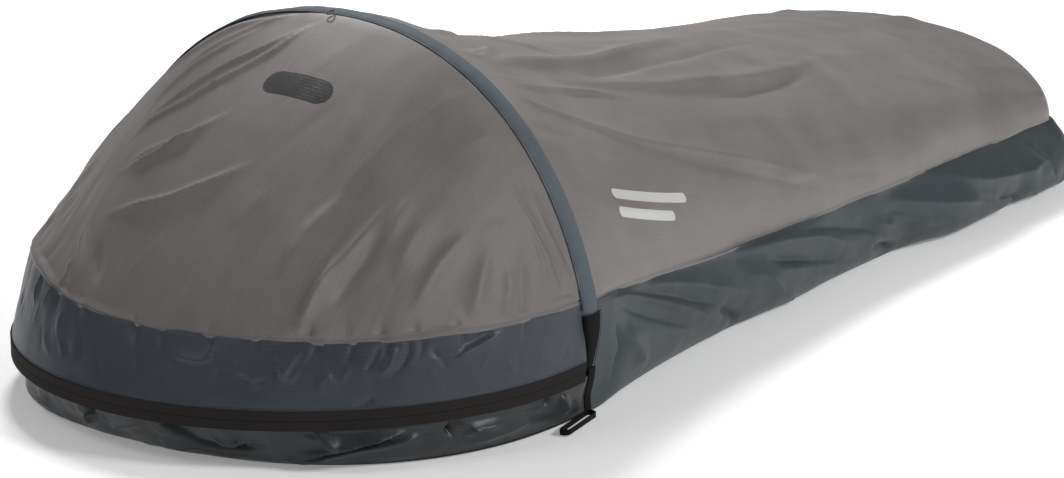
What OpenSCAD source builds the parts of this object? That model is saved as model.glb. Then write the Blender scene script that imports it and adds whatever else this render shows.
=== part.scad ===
// Bivy sack: a one-person shelter sack with a one-pole hood, a clamshell door and a tub floor.
// Millimetres. +X runs from head to foot, +Y is the sleeper's left, +Z is up.
// The origin is on the underside of the floor, midway between the zip and the foot.
// Fabric panels are drawn as thin closed shells that follow the pitched, filled-out shape.

/* [Overall] */
// Length from the front of the zip to the end of the foot
sack_len = 2156; // [2120:4:2200]
// Distance from the pole's plane to the front of the zip
hood_depth = 464; // [455:1:470]
// Height of the crown, over the pole sleeve
hoop_h = 500; // [480:5:520]
// Width over the pole sleeve at its widest
hoop_w = 856; // [846:2:866]
// Width of the body between its side seams
body_w = 730; // [700:2:750]

/* [Heights] */
// Height of the zip's centre line
zip_h = 65; // [62:1:72]
// Height of the seam between the door's dark band and its light panel
band_top = 160; // [150:1:170]
// Height of the side seam beside the pole
seam_head_h = 122; // [116:1:128]
// How much higher the side seam starts, right behind the pole
seam_rise = 32; // [24:1:36]
// Height of the side seam at the foot
seam_foot_h = 118; // [110:1:120]
// Height that the body's ridge line would reach at the pole without the hoop
ridge_head_h = 430; // [415:5:440]
// Height of the ridge line where the foot panel starts
ridge_foot_h = 275; // [260:5:290]

/* [Zip] */
// Radius of the zip's half circle round the head
zip_r = 415; // [412:1:418]
// Height of each zip tape
tape_h = 11; // [9:1:13]
// Space between the two tapes' edges
tape_gap = 2; // [1.8:0.1:2.4]
// Bearing of the first slider round the zip's centre
slider_bearing = 112; // [106:1:118]
// Length of a slider's pull
pull_len = 38; // [30:1:40]
// How far the stiff pulls stand out from hanging straight down, in degrees
pull_tilt = 30; // [15:5:45]

/* [Pole] */
// Diameter of the pole's tubes
pole_d = 8.6; // [8:0.2:9]
// Width of the pole sleeve along the sack
sleeve_w = 36; // [32:1:40]
// Thickness of the pole sleeve over the pole
sleeve_t = 14; // [13:1:16]

/* [Fabric] */
// Thickness of the fabric shells
fabric_t = 0.8; // [0.6:0.1:1]
// Diameter of the cord in the crown loop
cord_d = 2; // [1.6:0.2:2.4]
// Inner radius of a stake loop's end
stake_loop_r = 6; // [5:0.5:7]

/* [Hidden] */
$fn = 48;

// Clearance between neighbouring fabric edges
gap = 0.4;
// How far inside the hoop's outline the body's and the hood's fabric lie
body_inset = 3;
hood_inset = 4;
// How far the floor's edge stands out under the walls
floor_edge = 2;
// Powers that shape how the head wall and the dark band spread out to the zip and in to the seam
head_spread = 0.75;
band_spread = 1.25;
// Power that sets how quickly the body leaves the hoop's shape
fade = 1.3;
// The pole's plane, and the plane where the door and the head wall end beside the sleeve
hoop_x = hood_depth - sack_len / 2;
piping_d = 3.2;
end_gap = sleeve_w / 2 + piping_d + 2 * gap;
door_x = hoop_x - end_gap;
// Powers of the superellipses that give the hoop, the head and the body their roundness
hoop_n = 2.2;
head_n = 2.35;
door_seam_n = 2.12;
body_n = 2.15;
foot_n = 2.6;
// Powers of the profiles from the crown to the head and over the foot
hood_m = 1.2;
foot_m = 2.2;
// How far the pole's feet tuck in towards the floor, and the height where that starts
leg_tuck = 34;
leg_tuck_h = 140;
// The head's floor, and the door seam, inside the zip's half circle
head_floor_w = 800;
head_floor_depth = 411;
door_seam_depth = 418;
// The zip's half circle and the straight run that joins it to the pole's plane
zip_cx = hoop_x - hood_depth + zip_r;
zip_run = door_x - zip_cx;
// Lengths over which the body narrows and flattens behind the pole
flare_len = 170;
saddle_len = 215;
rise_len = 150;
floor_flare_len = 240;
// Length of the rounded foot, and of the whole foot panel from its seam with the top panel
foot_len = 165;
foot_panel_len = 358;
body_len = sack_len - hood_depth;
foot_x = hoop_x + body_len - foot_len;
foot_seam = body_len - foot_panel_len;
wall_tuck = 18;
wall_bulge = 20;
// Segments round the head's arches, round the foot and up a wall
arc_n = 36;
end_n = 24;
wall_rows = 6;
wall_z = fabric_t + gap;

function spow(v, p) = sign(v) * pow(abs(v), p);
function mix(a, b, s) = a * (1 - s) + b * s;
function tuck(z) = leg_tuck * pow(max(0, 1 - z / leg_tuck_h), 1.5);

// A point of the hoop's outline, grown outwards by g: u is 0 at the right foot and 180 at the left
function hoop_pt(g, u) =
    let (z = (hoop_h + g) * pow(max(0, sin(u)), 2 / hoop_n))
    let (y = -(hoop_w / 2 + g) * spow(cos(u), 2 / hoop_n))
    [y - sign(y) * tuck(z), z];
// The angle at which the hoop passes height z
function hoop_angle(z) = asin(pow(z / hoop_h, hoop_n / 2));
// The same outline from height z on one side to height z on the other, with f from 0 to 1
function hoop_over(g, z, f) = hoop_pt(g, mix(hoop_angle(z), 180 - hoop_angle(z), f));

// Plan curve of a round end: f from 0 at the right to 1 at the left
function end_arc(x0, w, d, n, f) =
    [x0 + d * pow(max(0, sin(180 * f)), 2 / n), -w * spow(cos(180 * f), 2 / n)];
// Plan curve of the zip, grown by g: a half circle with a short straight run at each end
function zip_arc(g, f) =
    let (s = f * (2 * zip_run + PI * zip_r))
    let (a = (s - zip_run) / zip_r * 180 / PI)
    a < 0 ? [door_x - s, -zip_r - g]
    : a > 180 ? [door_x - 2 * zip_run - PI * zip_r + s, zip_r + g]
    : [zip_cx - (zip_r + g) * sin(a), -(zip_r + g) * cos(a)];

// Turns plan or section points into points in space
function up(p, z) = [p.x, p.y, z];
function at_x(x, p) = [x, p.x, p.y];

// A shell between two grids of points, rows by columns: closed along its rims
function strip(a, b, c, d) = [[a, b, c], [a, c, d]];
function join(lists) = [for (l = lists) for (e = l) e];
module shell(outer, inner) {
    rows = len(outer);
    cols = len(outer[0]);
    n = rows * cols;
    last = (rows - 1) * cols;
    polyhedron(concat(join(outer), join(inner)), concat(
        join([for (i = [0:rows - 2]) for (j = [0:cols - 2]) let (k = i * cols + j)
            strip(k, k + cols, k + cols + 1, k + 1)]),
        join([for (i = [0:rows - 2]) for (j = [0:cols - 2]) let (k = n + i * cols + j)
            [[k, k + cols + 1, k + cols], [k, k + 1, k + cols + 1]]]),
        join([for (j = [0:cols - 2]) strip(j, j + 1, n + j + 1, n + j)]),
        join([for (j = [0:cols - 2]) strip(last + j + 1, last + j, n + last + j, n + last + j + 1)]),
        join([for (i = [0:rows - 2]) let (k = i * cols)
            strip(k + cols, k, n + k, n + k + cols)]),
        join([for (i = [0:rows - 2]) let (k = i * cols + cols - 1)
            strip(k, k + cols, n + k + cols, n + k)])
    ));
}

// A solid swept through rings of points, and a tube between two such sweeps
function ring_wall(rings, k, base, flip) =
    join([for (i = [0:rings - 2]) for (j = [0:k - 1])
        let (a = base + i * k + j)
        let (b = base + i * k + (j + 1) % k)
        flip ? [[a, b + k, b], [a, a + k, b + k]] : [[a, b, b + k], [a, b + k, a + k]]]);
module sweep(rings) {
    n = len(rings);
    k = len(rings[0]);
    polyhedron(join(rings), concat(
        ring_wall(n, k, 0, false),
        [for (j = [1:k - 2]) [0, j + 1, j]],
        [for (j = [1:k - 2]) [(n - 1) * k, (n - 1) * k + j, (n - 1) * k + j + 1]]
    ));
}
module sweep_tube(outer, inner) {
    n = len(outer);
    k = len(outer[0]);
    m = n * k;
    e = (n - 1) * k;
    polyhedron(concat(join(outer), join(inner)), concat(
        ring_wall(n, k, 0, false),
        ring_wall(n, k, m, true),
        join([for (j = [0:k - 1]) let (h = (j + 1) % k) strip(j, m + j, m + h, h)]),
        join([for (j = [0:k - 1]) let (h = (j + 1) % k) strip(e + j, e + h, m + e + h, m + e + j)])
    ));
}
// Oval rings along the hoop's centre line: half thickness a, half width b along the sack
function hoop_ring(u, off, x, a, b, k) =
    let (p = hoop_pt(off, u))
    let (d = hoop_pt(off, u + 0.5) - hoop_pt(off, u - 0.5))
    let (n = [-d.y, d.x] / norm(d))
    [for (i = [0:k - 1]) let (t = 360 * i / k)
        [x + b * cos(t), p.x + a * sin(t) * n.x, p.y + a * sin(t) * n.y]];
function hoop_rings(u0, u1, steps, off, x, a, b, k) =
    [for (i = [0:steps]) hoop_ring(mix(u0, u1, i / steps), off, x, a, b, k)];

// Half widths, seam height and ridge height of the body at a distance s behind the pole
function flare(s) = exp(-pow(max(0, s) / flare_len, fade));
function saddle(s) = exp(-pow(max(0, s) / saddle_len, fade));
function seam_h(s) =
    mix(seam_head_h, seam_foot_h, s / body_len) + seam_rise * exp(-max(0, s) / rise_len);
function ridge_h(s) = mix(ridge_head_h, ridge_foot_h, s / (body_len - foot_len));
function floor_half(s) =
    mix(body_w / 2 - wall_tuck, head_floor_w / 2, exp(-pow(max(0, s) / floor_flare_len, fade)));
function body_section(s, g, f) =
    let (z0 = seam_h(s))
    let (y = -(body_w / 2 + g) * spow(cos(180 * f), 2 / body_n))
    let (z = z0 + (ridge_h(s) - z0 + g) * pow(max(0, sin(180 * f)), 2 / body_n))
    let (a = hoop_over(g - body_inset, seam_head_h + seam_rise, f))
    [mix(y, a.x, flare(s)), mix(z, a.y, saddle(s))];
// How far a wall bulges out at a fraction h of its height, and its section at distance s
function bulge(h) = wall_bulge * sin(180 * pow(h, 0.8));
function wall_section(s, g, f) =
    let (seam = body_section(s, 0, 0))
    [mix(floor_half(s), -seam.x, f) + bulge(f) + g,
     mix(wall_z, seam.y - gap, f)];
function body_stations(n, end) =
    [for (i = [0:n]) mix(sleeve_w / 2 + gap, end, pow(i / n, 1.4))];

// The corner between an arch and a plan curve, rounded by the power m: q is 0 at the arch
function dome(a, s, q, m) =
    let (o = [a.x, (a.y + s.y) / 2, s.z])
    o + pow(max(0, cos(q)), 2 / m) * (a - o) + pow(max(0, sin(q)), 2 / m) * (s - o);
// Fractions from 0 to 1 that start and end just short of the corners
function spread(n, e) = [for (i = [0:n]) mix(e, 1 - e, i / n)];

// Places a piece on the zip at a bearing: x points outwards, y along the zip
module on_zip(bearing) {
    translate([zip_cx, 0, zip_h])
        rotate([0, 0, bearing])
            translate([zip_r, 0, 0])
                children();
}
// A band along the zip from height z, between two distances outside the zip's line
module zip_band(z, h, g0, g1) {
    t = g1 - g0;
    translate([zip_cx, 0, z])
        union() {
            rotate([0, 0, 90])
                rotate_extrude(angle = 180, $fn = 180)
                    translate([zip_r + g0, 0])
                        square([t, h]);
            translate([0, zip_r + g0, 0])
                cube([zip_run, t, h]);
            translate([0, -zip_r - g1, 0])
                cube([zip_run, t, h]);
        }
}

module floor_panel() {
    head_w = head_floor_w / 2 + floor_edge;
    head_d = head_floor_depth + floor_edge;
    foot_w = body_w / 2 - wall_tuck + floor_edge;
    foot_d = foot_len - wall_tuck + floor_edge;
    head = [for (i = [0:arc_n]) end_arc(hoop_x, head_w, -head_d, head_n, i / arc_n)];
    side = [for (s = [60:120:body_len - foot_len]) [hoop_x + s, floor_half(s) + floor_edge]];
    foot = [for (i = [0:end_n]) end_arc(foot_x, foot_w, foot_d, foot_n, i / end_n)];
    color("#3c4448")
        linear_extrude(fabric_t)
            polygon(concat(
                head,
                side,
                [for (i = [end_n:-1:0]) foot[i]],
                [for (i = [len(side) - 1:-1:0]) [side[i].x, -side[i].y]]
            ));
}
module side_wall(flip) {
    stations = body_stations(14, body_len - foot_len);
    levels = [for (j = [0:wall_rows]) j / wall_rows];
    color("#4b5359")
        mirror([0, flip, 0])
            shell(
                [for (s = stations) [for (f = levels) at_x(hoop_x + s, wall_section(s, fabric_t, f))]],
                [for (s = stations) [for (f = levels) at_x(hoop_x + s, wall_section(s, 0, f))]]
            );
}
module wall_left() {
    side_wall(0);
}
module wall_right() {
    side_wall(1);
}
function foot_wall_pt(g, f, h) =
    let (b = bulge(h) + g)
    let (w = mix(body_w / 2 - wall_tuck, body_w / 2, h) + b)
    let (d = foot_len - wall_tuck * (1 - h) + b - wall_bulge)
    up(end_arc(foot_x + gap, w, d, foot_n, f), mix(wall_z, seam_foot_h - gap, h));
module foot_wall() {
    levels = [for (j = [0:wall_rows]) j / wall_rows];
    along = [for (i = [0:end_n]) i / end_n];
    color("#454d53")
        shell(
            [for (h = levels) [for (f = along) foot_wall_pt(fabric_t, f, h)]],
            [for (h = levels) [for (f = along) foot_wall_pt(0, f, h)]]
        );
}
function head_wall_pt(g, f, h) =
    let (a = end_arc(door_x, head_floor_w / 2 + g, end_gap - head_floor_depth - g, head_n, f))
    let (b = zip_arc(g, f))
    let (c = mix(a, b, pow(h, head_spread)))
    up(c, mix(wall_z, zip_h - tape_gap / 2 - tape_h - gap, h));
module head_wall() {
    levels = [for (j = [0:4]) j / 4];
    along = [for (i = [0:arc_n]) i / arc_n];
    color("#33393e")
        shell(
            [for (f = along) [for (h = levels) head_wall_pt(fabric_t, f, h)]],
            [for (f = along) [for (h = levels) head_wall_pt(0, f, h)]]
        );
}
module top_panel() {
    stations = body_stations(18, foot_seam);
    across = [for (i = [end_n:-1:0]) i / end_n];
    color("#7a7572")
        shell(
            [for (s = stations) [for (f = across) at_x(hoop_x + s, body_section(s, fabric_t, f))]],
            [for (s = stations) [for (f = across) at_x(hoop_x + s, body_section(s, 0, f))]]
        );
}
// The foot panel runs straight from its seam, and then turns down over the foot
function foot_round_pt(g, f, q) =
    let (a = at_x(foot_x, body_section(body_len - foot_len, g, f)))
    let (e = end_arc(foot_x, body_w / 2 + g, foot_len - wall_bulge + g, foot_n, f))
    dome(a, up(e, seam_foot_h), q, foot_m);
function foot_panel_grid(g) =
    let (across = spread(end_n, 0.002))
    concat(
        [for (i = [9:-1:0]) [for (f = across) foot_round_pt(g, f, 90 * i / 9)]],
        [for (i = [3:-1:0]) let (s = mix(foot_seam + gap, body_len - foot_len, i / 4))
            [for (f = across) at_x(hoop_x + s, body_section(s, g, f))]]
    );
module foot_panel() {
    color("#76716e")
        shell(foot_panel_grid(fabric_t), foot_panel_grid(0));
}
function door_seam_pt(g, f) =
    let (w = -hoop_over(g - hood_inset, band_top, 0).x)
    up(end_arc(door_x, w, end_gap - door_seam_depth - g, door_seam_n, f), band_top);
function hood_pt(g, f, q) =
    dome(at_x(door_x, hoop_over(g - hood_inset, band_top, f)), door_seam_pt(g, f), q, hood_m);
module hood_panel() {
    across = spread(arc_n, 0.004);
    turns = [for (i = [10:-1:0]) 90 * i / 10];
    color("#6b6664")
        shell(
            [for (f = across) [for (q = turns) hood_pt(fabric_t, f, q)]],
            [for (f = across) [for (q = turns) hood_pt(0, f, q)]]
        );
}
function band_pt(g, f, h) =
    let (a = up(zip_arc(g, f), zip_h + tape_gap / 2 + tape_h + gap))
    let (b = door_seam_pt(g, f) - [0, 0, gap])
    let (c = mix(a, b, h))
    let (k = pow(h, band_spread))
    [mix(a.x, b.x, k), mix(a.y, b.y, k), c.z];
module hood_band() {
    levels = [for (j = [0:5]) j / 5];
    along = [for (i = [0:arc_n]) i / arc_n];
    color("#3d444b")
        shell(
            [for (f = along) [for (h = levels) band_pt(fabric_t, f, h)]],
            [for (f = along) [for (h = levels) band_pt(0, f, h)]]
        );
}
module zip_tape(z) {
    color("#2e2b29")
        zip_band(z, tape_h, 0, fabric_t);
}
module zip_tape_upper() {
    zip_tape(zip_h + tape_gap / 2);
}
module zip_tape_lower() {
    zip_tape(zip_h - tape_gap / 2 - tape_h);
}
// The coil's envelope, on the inside of its tape
coil_d = 2.4;
coil_gap = 1;
module zip_coil(z) {
    color("#1d1d1f")
        zip_band(z, coil_d, -coil_d - coil_gap, -coil_gap);
}
module zip_coil_upper() {
    zip_coil(zip_h + tape_gap / 2 + gap / 2);
}
module zip_coil_lower() {
    zip_coil(zip_h - tape_gap / 2 - gap / 2 - coil_d);
}

// A slider: a plate outside the tapes, a plate behind the coils, the neck between, and a bar
slider_len = 12;
slider_h = 10;
plate_t = 1.7;
plate_out = fabric_t + 0.5;
plate_in = -coil_d - coil_gap - 2 * gap;
bar_x = plate_out + plate_t + 3;
bar_d = 1.2;
bar_len = 7.6;
slider_pitch = 17;
rear_bearing = slider_bearing - slider_pitch / zip_r * 180 / PI;
module slider(bearing) {
    post_w = 1.2;
    post_h = 1.8;
    neck_h = 1.2;
    neck_w = 4;
    sink = 0.1;
    color("#1b1b1d")
        on_zip(bearing)
            union() {
                translate([plate_out, -slider_len / 2, -slider_h / 2])
                    cube([plate_t, slider_len, slider_h]);
                translate([plate_in - plate_t, -slider_len / 2, -slider_h / 2])
                    cube([plate_t, slider_len, slider_h]);
                translate([plate_in - sink, -neck_w / 2, -neck_h / 2])
                    cube([plate_out - plate_in + 2 * sink, neck_w, neck_h]);
                for (side = [-1, 1])
                    translate([plate_out + plate_t - sink, (side * bar_len - post_w) / 2, -post_h / 2])
                        cube([bar_x - plate_out - plate_t + post_h / 2 - sink, post_w, post_h]);
                translate([bar_x, -bar_len / 2, 0])
                    rotate([-90, 0, 0])
                        cylinder(d = bar_d, h = bar_len);
            }
}
module slider_front() {
    slider(slider_bearing);
}
module slider_rear() {
    slider(rear_bearing);
}
// A stiff moulded pull on the slider's bar
module pull(bearing) {
    eye_r = 2.2;
    eye_w = 5;
    eye_play = 0.8;
    neck_t = 1.6;
    tab_t = 2.6;
    tab_w = 8;
    tab_len = 14;
    color("#161617")
        on_zip(bearing)
            translate([bar_x, 0, 0])
                rotate([0, -pull_tilt, 0])
                    difference() {
                        union() {
                            translate([0, -eye_w / 2, 0])
                                rotate([-90, 0, 0])
                                    cylinder(r = eye_r, h = eye_w);
                            translate([-neck_t / 2, -eye_w / 2, 2 - pull_len])
                                cube([neck_t, eye_w, pull_len - 2 - eye_r + 0.4]);
                            translate([-tab_t / 2, -tab_w / 2, -pull_len])
                                cube([tab_t, tab_w, tab_len]);
                        }
                        translate([0, -eye_w, 0])
                            rotate([-90, 0, 0])
                                cylinder(d = bar_d + eye_play, h = 2 * eye_w);
                    }
}
module pull_front() {
    pull(slider_bearing);
}
module pull_rear() {
    pull(rear_bearing);
}

// The pole's centre line runs inside the hoop's outline
pole_off = -sleeve_t / 2;
sleeve_foot_h = 130;
sleeve_u = hoop_angle(sleeve_foot_h);
pocket_top = sleeve_foot_h - 5;
pocket_foot = 58;
hoop_steps = 44;
module pole_sleeve() {
    a = sleeve_t / 2;
    b = sleeve_w / 2;
    u = sleeve_u;
    color("#565e66")
        sweep_tube(
            hoop_rings(u, 180 - u, hoop_steps, pole_off, hoop_x, a, b, 12),
            hoop_rings(u, 180 - u, hoop_steps, pole_off, hoop_x, a - 1, b - 3, 12)
        );
}
module sleeve_piping() {
    x = hoop_x - sleeve_w / 2 - gap - piping_d / 2;
    u = hoop_angle(band_top);
    color("#2b2f34")
        sweep(hoop_rings(u, 180 - u, hoop_steps, pole_off, x, piping_d / 2, piping_d / 2, 6));
}
// The pole is three tubes end to end: each joint has an insert inside both tube ends
pole_wall = 0.8;
insert_play = 0.5;
insert_half = 2.4;
joint_u = 62;
joint_play = 0.03;
tip_len_u = 3;
pole_foot_u = hoop_angle(pocket_foot + 8);
module pole_tube(u0, u1, steps) {
    r = pole_d / 2;
    color("#a9acb0")
        sweep_tube(
            hoop_rings(u0, u1, steps, pole_off, hoop_x, r, r, 8),
            hoop_rings(u0, u1, steps, pole_off, hoop_x, r - pole_wall, r - pole_wall, 8)
        );
}
module pole_centre() {
    pole_tube(joint_u + joint_play, 180 - joint_u - joint_play, 14);
}
module pole_right() {
    pole_tube(pole_foot_u + tip_len_u, joint_u - joint_play, 14);
}
module pole_left() {
    mirror([0, 1, 0])
        pole_right();
}
module ferrule_right() {
    r = pole_d / 2 - pole_wall - insert_play;
    u = joint_u;
    color("#c4c6c8")
        sweep(hoop_rings(u - insert_half, u + insert_half, 4, pole_off, hoop_x, r, r, 8));
}
module ferrule_left() {
    mirror([0, 1, 0])
        ferrule_right();
}
// The moulded tip that closes the pole's foot
module pole_tip_right() {
    r = pole_d / 2 + 0.3;
    u = pole_foot_u;
    color("#1a1a1c")
        sweep(hoop_rings(u, u + tip_len_u - joint_play, 3, pole_off, hoop_x, r, r, 8));
}
module pole_tip_left() {
    mirror([0, 1, 0])
        pole_tip_right();
}
// The webbing pocket that holds the pole's foot, and the strap's half width and half thickness
pocket_w = 22;
pocket_t = 1.2;
pocket_play = 1.4;
strap_half_w = 8;
strap_half_t = 1.2;
module pole_pocket() {
    u0 = hoop_angle(pocket_foot);
    u1 = hoop_angle(pocket_top);
    a = pole_d / 2 + pocket_play;
    b = pocket_w / 2 - pocket_t;
    color("#141516")
        sweep_tube(
            hoop_rings(u0, u1, 5, pole_off, hoop_x, a + pocket_t, b + pocket_t, 12),
            hoop_rings(u0, u1, 5, pole_off, hoop_x, a, b, 12)
        );
}
module pole_pocket_right() {
    pole_pocket();
}
module pole_pocket_left() {
    mirror([0, 1, 0])
        pole_pocket();
}
// The strap from the pocket down to the floor's edge
module corner_strap() {
    u1 = hoop_angle(pocket_foot - gap);
    u0 = hoop_angle(4);
    color("#141516")
        sweep(hoop_rings(u0, u1, 5, pole_off, hoop_x, strap_half_t, strap_half_w, 8));
}
module corner_strap_right() {
    corner_strap();
}
module corner_strap_left() {
    mirror([0, 1, 0])
        corner_strap();
}
// A stake loop: a strap on edge, bent into a long loop beside the floor's corner, and how far it
// turns outwards, so that its round end is clear of the zip above
loop_w = 8;
loop_t = 1.4;
loop_run = 78;
loop_turn = 9;
loop_x = hoop_x - 8;
loop_y = head_floor_w / 2 + stake_loop_r + loop_t + 8;
module loop_plan(r) {
    translate([loop_run, 0])
        circle(r = r);
    circle(r = r);
    translate([0, -r])
        square([loop_run, 2 * r]);
}
module stake_loop() {
    color("#151617")
        translate([loop_x, -loop_y, 0.3])
            rotate([0, 0, 180 + loop_turn])
                linear_extrude(loop_w)
                    difference() {
                        loop_plan(stake_loop_r + loop_t);
                        loop_plan(stake_loop_r);
                    }
}
module stake_loop_right() {
    stake_loop();
}
module stake_loop_left() {
    mirror([0, 1, 0])
        stake_loop();
}
// A small cord loop at the crown, in front of the sleeve
crown_loop_r = 5;
crown_loop_y = -12;
crown_loop_slope = 16;
module crown_loop() {
    top = hoop_pt(cord_d / 2, 90 + asin(crown_loop_y / hoop_w * 2));
    color("#5d5c5b")
        translate([door_x - cord_d / 2, crown_loop_y, top.y])
            rotate([0, -crown_loop_slope, 0])
                translate([-crown_loop_r, 0, 0])
                    rotate_extrude()
                        translate([crown_loop_r, 0])
                            circle(d = cord_d, $fn = 16);
}

floor_panel();
wall_left();
wall_right();
foot_wall();
head_wall();
top_panel();
foot_panel();
hood_panel();
hood_band();
zip_tape_upper();
zip_tape_lower();
zip_coil_upper();
zip_coil_lower();
slider_front();
slider_rear();
pull_front();
pull_rear();
pole_sleeve();
sleeve_piping();
pole_centre();
pole_left();
pole_right();
ferrule_left();
ferrule_right();
pole_tip_left();
pole_tip_right();
pole_pocket_left();
pole_pocket_right();
corner_strap_left();
corner_strap_right();
stake_loop_left();
stake_loop_right();
crown_loop();
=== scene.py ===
"""Looks for the bivy sack: cloth panels, webbing, zip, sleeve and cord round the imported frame."""

import math

import bpy
import numpy as np
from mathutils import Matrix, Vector


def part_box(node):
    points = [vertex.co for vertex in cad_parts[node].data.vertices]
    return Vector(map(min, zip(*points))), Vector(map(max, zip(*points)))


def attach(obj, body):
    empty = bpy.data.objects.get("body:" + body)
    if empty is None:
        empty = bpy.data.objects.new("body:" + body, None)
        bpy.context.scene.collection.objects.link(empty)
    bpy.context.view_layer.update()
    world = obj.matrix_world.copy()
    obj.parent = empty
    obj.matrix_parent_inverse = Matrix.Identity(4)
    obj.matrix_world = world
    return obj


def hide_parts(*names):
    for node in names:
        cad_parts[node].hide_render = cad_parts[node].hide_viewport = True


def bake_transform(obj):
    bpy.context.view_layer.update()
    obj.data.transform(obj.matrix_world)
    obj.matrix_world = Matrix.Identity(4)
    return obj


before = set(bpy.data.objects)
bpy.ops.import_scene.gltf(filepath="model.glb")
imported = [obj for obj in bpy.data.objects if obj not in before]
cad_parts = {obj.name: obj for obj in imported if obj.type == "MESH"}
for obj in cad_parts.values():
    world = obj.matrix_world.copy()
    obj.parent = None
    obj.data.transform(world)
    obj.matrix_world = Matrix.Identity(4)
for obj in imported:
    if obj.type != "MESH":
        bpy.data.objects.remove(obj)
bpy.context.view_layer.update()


def low(node):
    return np.array(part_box(node)[0])


def high(node):
    return np.array(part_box(node)[1])


# Places and sizes, in metres. The pole's hoop and its sleeve
HOOP_X = (low("pole_sleeve")[0] + high("pole_sleeve")[0]) / 2
SLEEVE_HALF = (high("pole_sleeve")[0] - low("pole_sleeve")[0]) / 2
HOOP_H = high("pole_sleeve")[2]
SLEEVE_FOOT = low("pole_sleeve")[2]
SLEEVE_T = 0.014
HOOP_HALF = 0.428
HOOP_N = 2.2
LEG_TUCK = 0.034
LEG_TUCK_H = 0.14
# The zip, and the door between it and the hoop
DOOR_X = high("hood_panel")[0]
ZIP_R = high("zip_tape_lower")[1]
ZIP_X = low("zip_tape_lower")[0] + ZIP_R
ZIP_RUN = DOOR_X - ZIP_X
ZIP_H = (high("zip_tape_lower")[2] + low("zip_tape_upper")[2]) / 2
TAPE_TOP = high("zip_tape_upper")[2]
TAPE_FOOT = low("zip_tape_lower")[2]
BAND_TOP = low("hood_panel")[2]
DOOR_FRONT = low("hood_panel")[0]
# The floor, the body and the foot, with the seam between the grey top and the dark walls
FLOOR_X = low("floor_panel")[0]
FLOOR_END = high("floor_panel")[0]
FLOOR_TOP = high("floor_panel")[2]
FLOOR_EDGE = 0.002
FOOT_X = high("wall_left")[0]
FOOT_SEAM = high("top_panel")[0] - HOOP_X
BODY_HALF = high("foot_panel")[1]
BODY_LEN = FOOT_X - HOOP_X
FOOT_LEN = 0.165
WHOLE_LEN = BODY_LEN + FOOT_LEN
# Heights of that seam and of the body's ridge, and how far behind the pole each one settles
SEAM_FOOT = low("foot_panel")[2]
SEAM_HEAD = 0.122
SEAM_RISE = 0.032
RISE_LEN = 0.150
RIDGE_FOOT = 0.275
RIDGE_HEAD = 0.430
FLARE_LEN = 0.170
SADDLE_LEN = 0.215
FLOOR_FLARE = 0.240
FADE = 1.3
HEAD_HALF = 0.400
# How far a side wall leans in at the floor, and how far it bellies out
WALL_TUCK = 0.018
WALL_BULGE = 0.020
# Places along a side wall where it is nipped in, and by what share of its reach
NIPS = ((0.45, 0.6), (0.97, 0.45), (1.36, 0.2))
NIP_WIDTH = 0.03
# How far it hangs out over the ground: all along, at most at the body's middle, and near the foot
HANG = 0.003
HANG_MIDDLE = 0.011
HANG_FOOT = 0.040
# How far the cloth lies inside the hoop's outline
BODY_INSET = 0.003
HOOD_INSET = 0.004
# Powers of the superellipses that round the cloth's sections, ends and corners
BODY_N = 2.15
FOOT_N = 2.6
FOOT_M = 2.2
HEAD_N = 2.35
SEAM_N = 2.12
HOOD_M = 1.2
# Thickness of the cloth and of the zip's tapes
CLOTH = 0.0006
TAPE_CLOTH = 0.0008
# The cloth that meets the zip lies so far from the zip's line
ZIP_GROW = -0.0006
# The tapes reach so far past the frame's own, and stop so far from the zip's middle
TAPE_PAST = 0.0004
TAPE_GAP = 0.00025
# At the far side the door's seam is drawn in and climbs
SEAM_DRAW = 0.007
SEAM_CLIMB = 0.026
# The coils lie this far above and below the zip
COIL_OFF = 0.0024
# How far back the door's cloth and the head wall run at the pole's foot
CORNER_END = HOOP_X - 0.0085
HEAD_WALL_END = HOOP_X + 0.007
# Moves the inner face's cloth map, so that printed marks are on the outside only
INSIDE_SHIFT = (4.4, 0.0)
# Faces that meet at more than this angle have a sharp edge, in degrees
SHARP_ANGLE = 80
# How far a panel laps over or under its neighbour
LAP = 0.004
LAP_SHARE = 0.02
# How much deeper every fold is than its own size says
FOLD_DEPTH = 1.3


# ---------------------------------------------------------------- numbers and curves
def spow(v, p):
    return np.sign(v) * np.abs(v) ** p


def mix(a, b, s):
    return a * (1 - s) + b * s


def smooth(a, b, x):
    t = np.clip((x - a) / (b - a), 0, 1)
    return t * t * (3 - 2 * t)


def gauss(x, centre, width):
    return np.exp(-(((x - centre) / width) ** 2))


def point(x, y, z):
    return np.stack(np.broadcast_arrays(x, y, z), -1).astype(float)


def unit(v):
    return v / np.maximum(np.linalg.norm(v, axis=-1, keepdims=True), 1e-12)


def tuck(z):
    return LEG_TUCK * np.maximum(0, 1 - z / LEG_TUCK_H) ** 1.5


def hoop_pt(g, u):
    """y and z of the hoop's outline, grown by g, at the angle u: 0 at the right foot, pi at the left."""
    z = (HOOP_H + g) * np.maximum(0, np.sin(u)) ** (2 / HOOP_N)
    y = -(HOOP_HALF + g) * spow(np.cos(u), 2 / HOOP_N)
    return y - np.sign(y) * tuck(z), z


def hoop_angle(z):
    return np.arcsin((z / HOOP_H) ** (HOOP_N / 2))


def hoop_over(g, z, f):
    u = hoop_angle(z)
    return hoop_pt(g, mix(u, math.pi - u, f))


def end_arc(x0, w, d, n, f):
    return (
        x0 + d * np.maximum(0, np.sin(math.pi * f)) ** (2 / n),
        -w * spow(np.cos(math.pi * f), 2 / n),
    )


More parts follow.
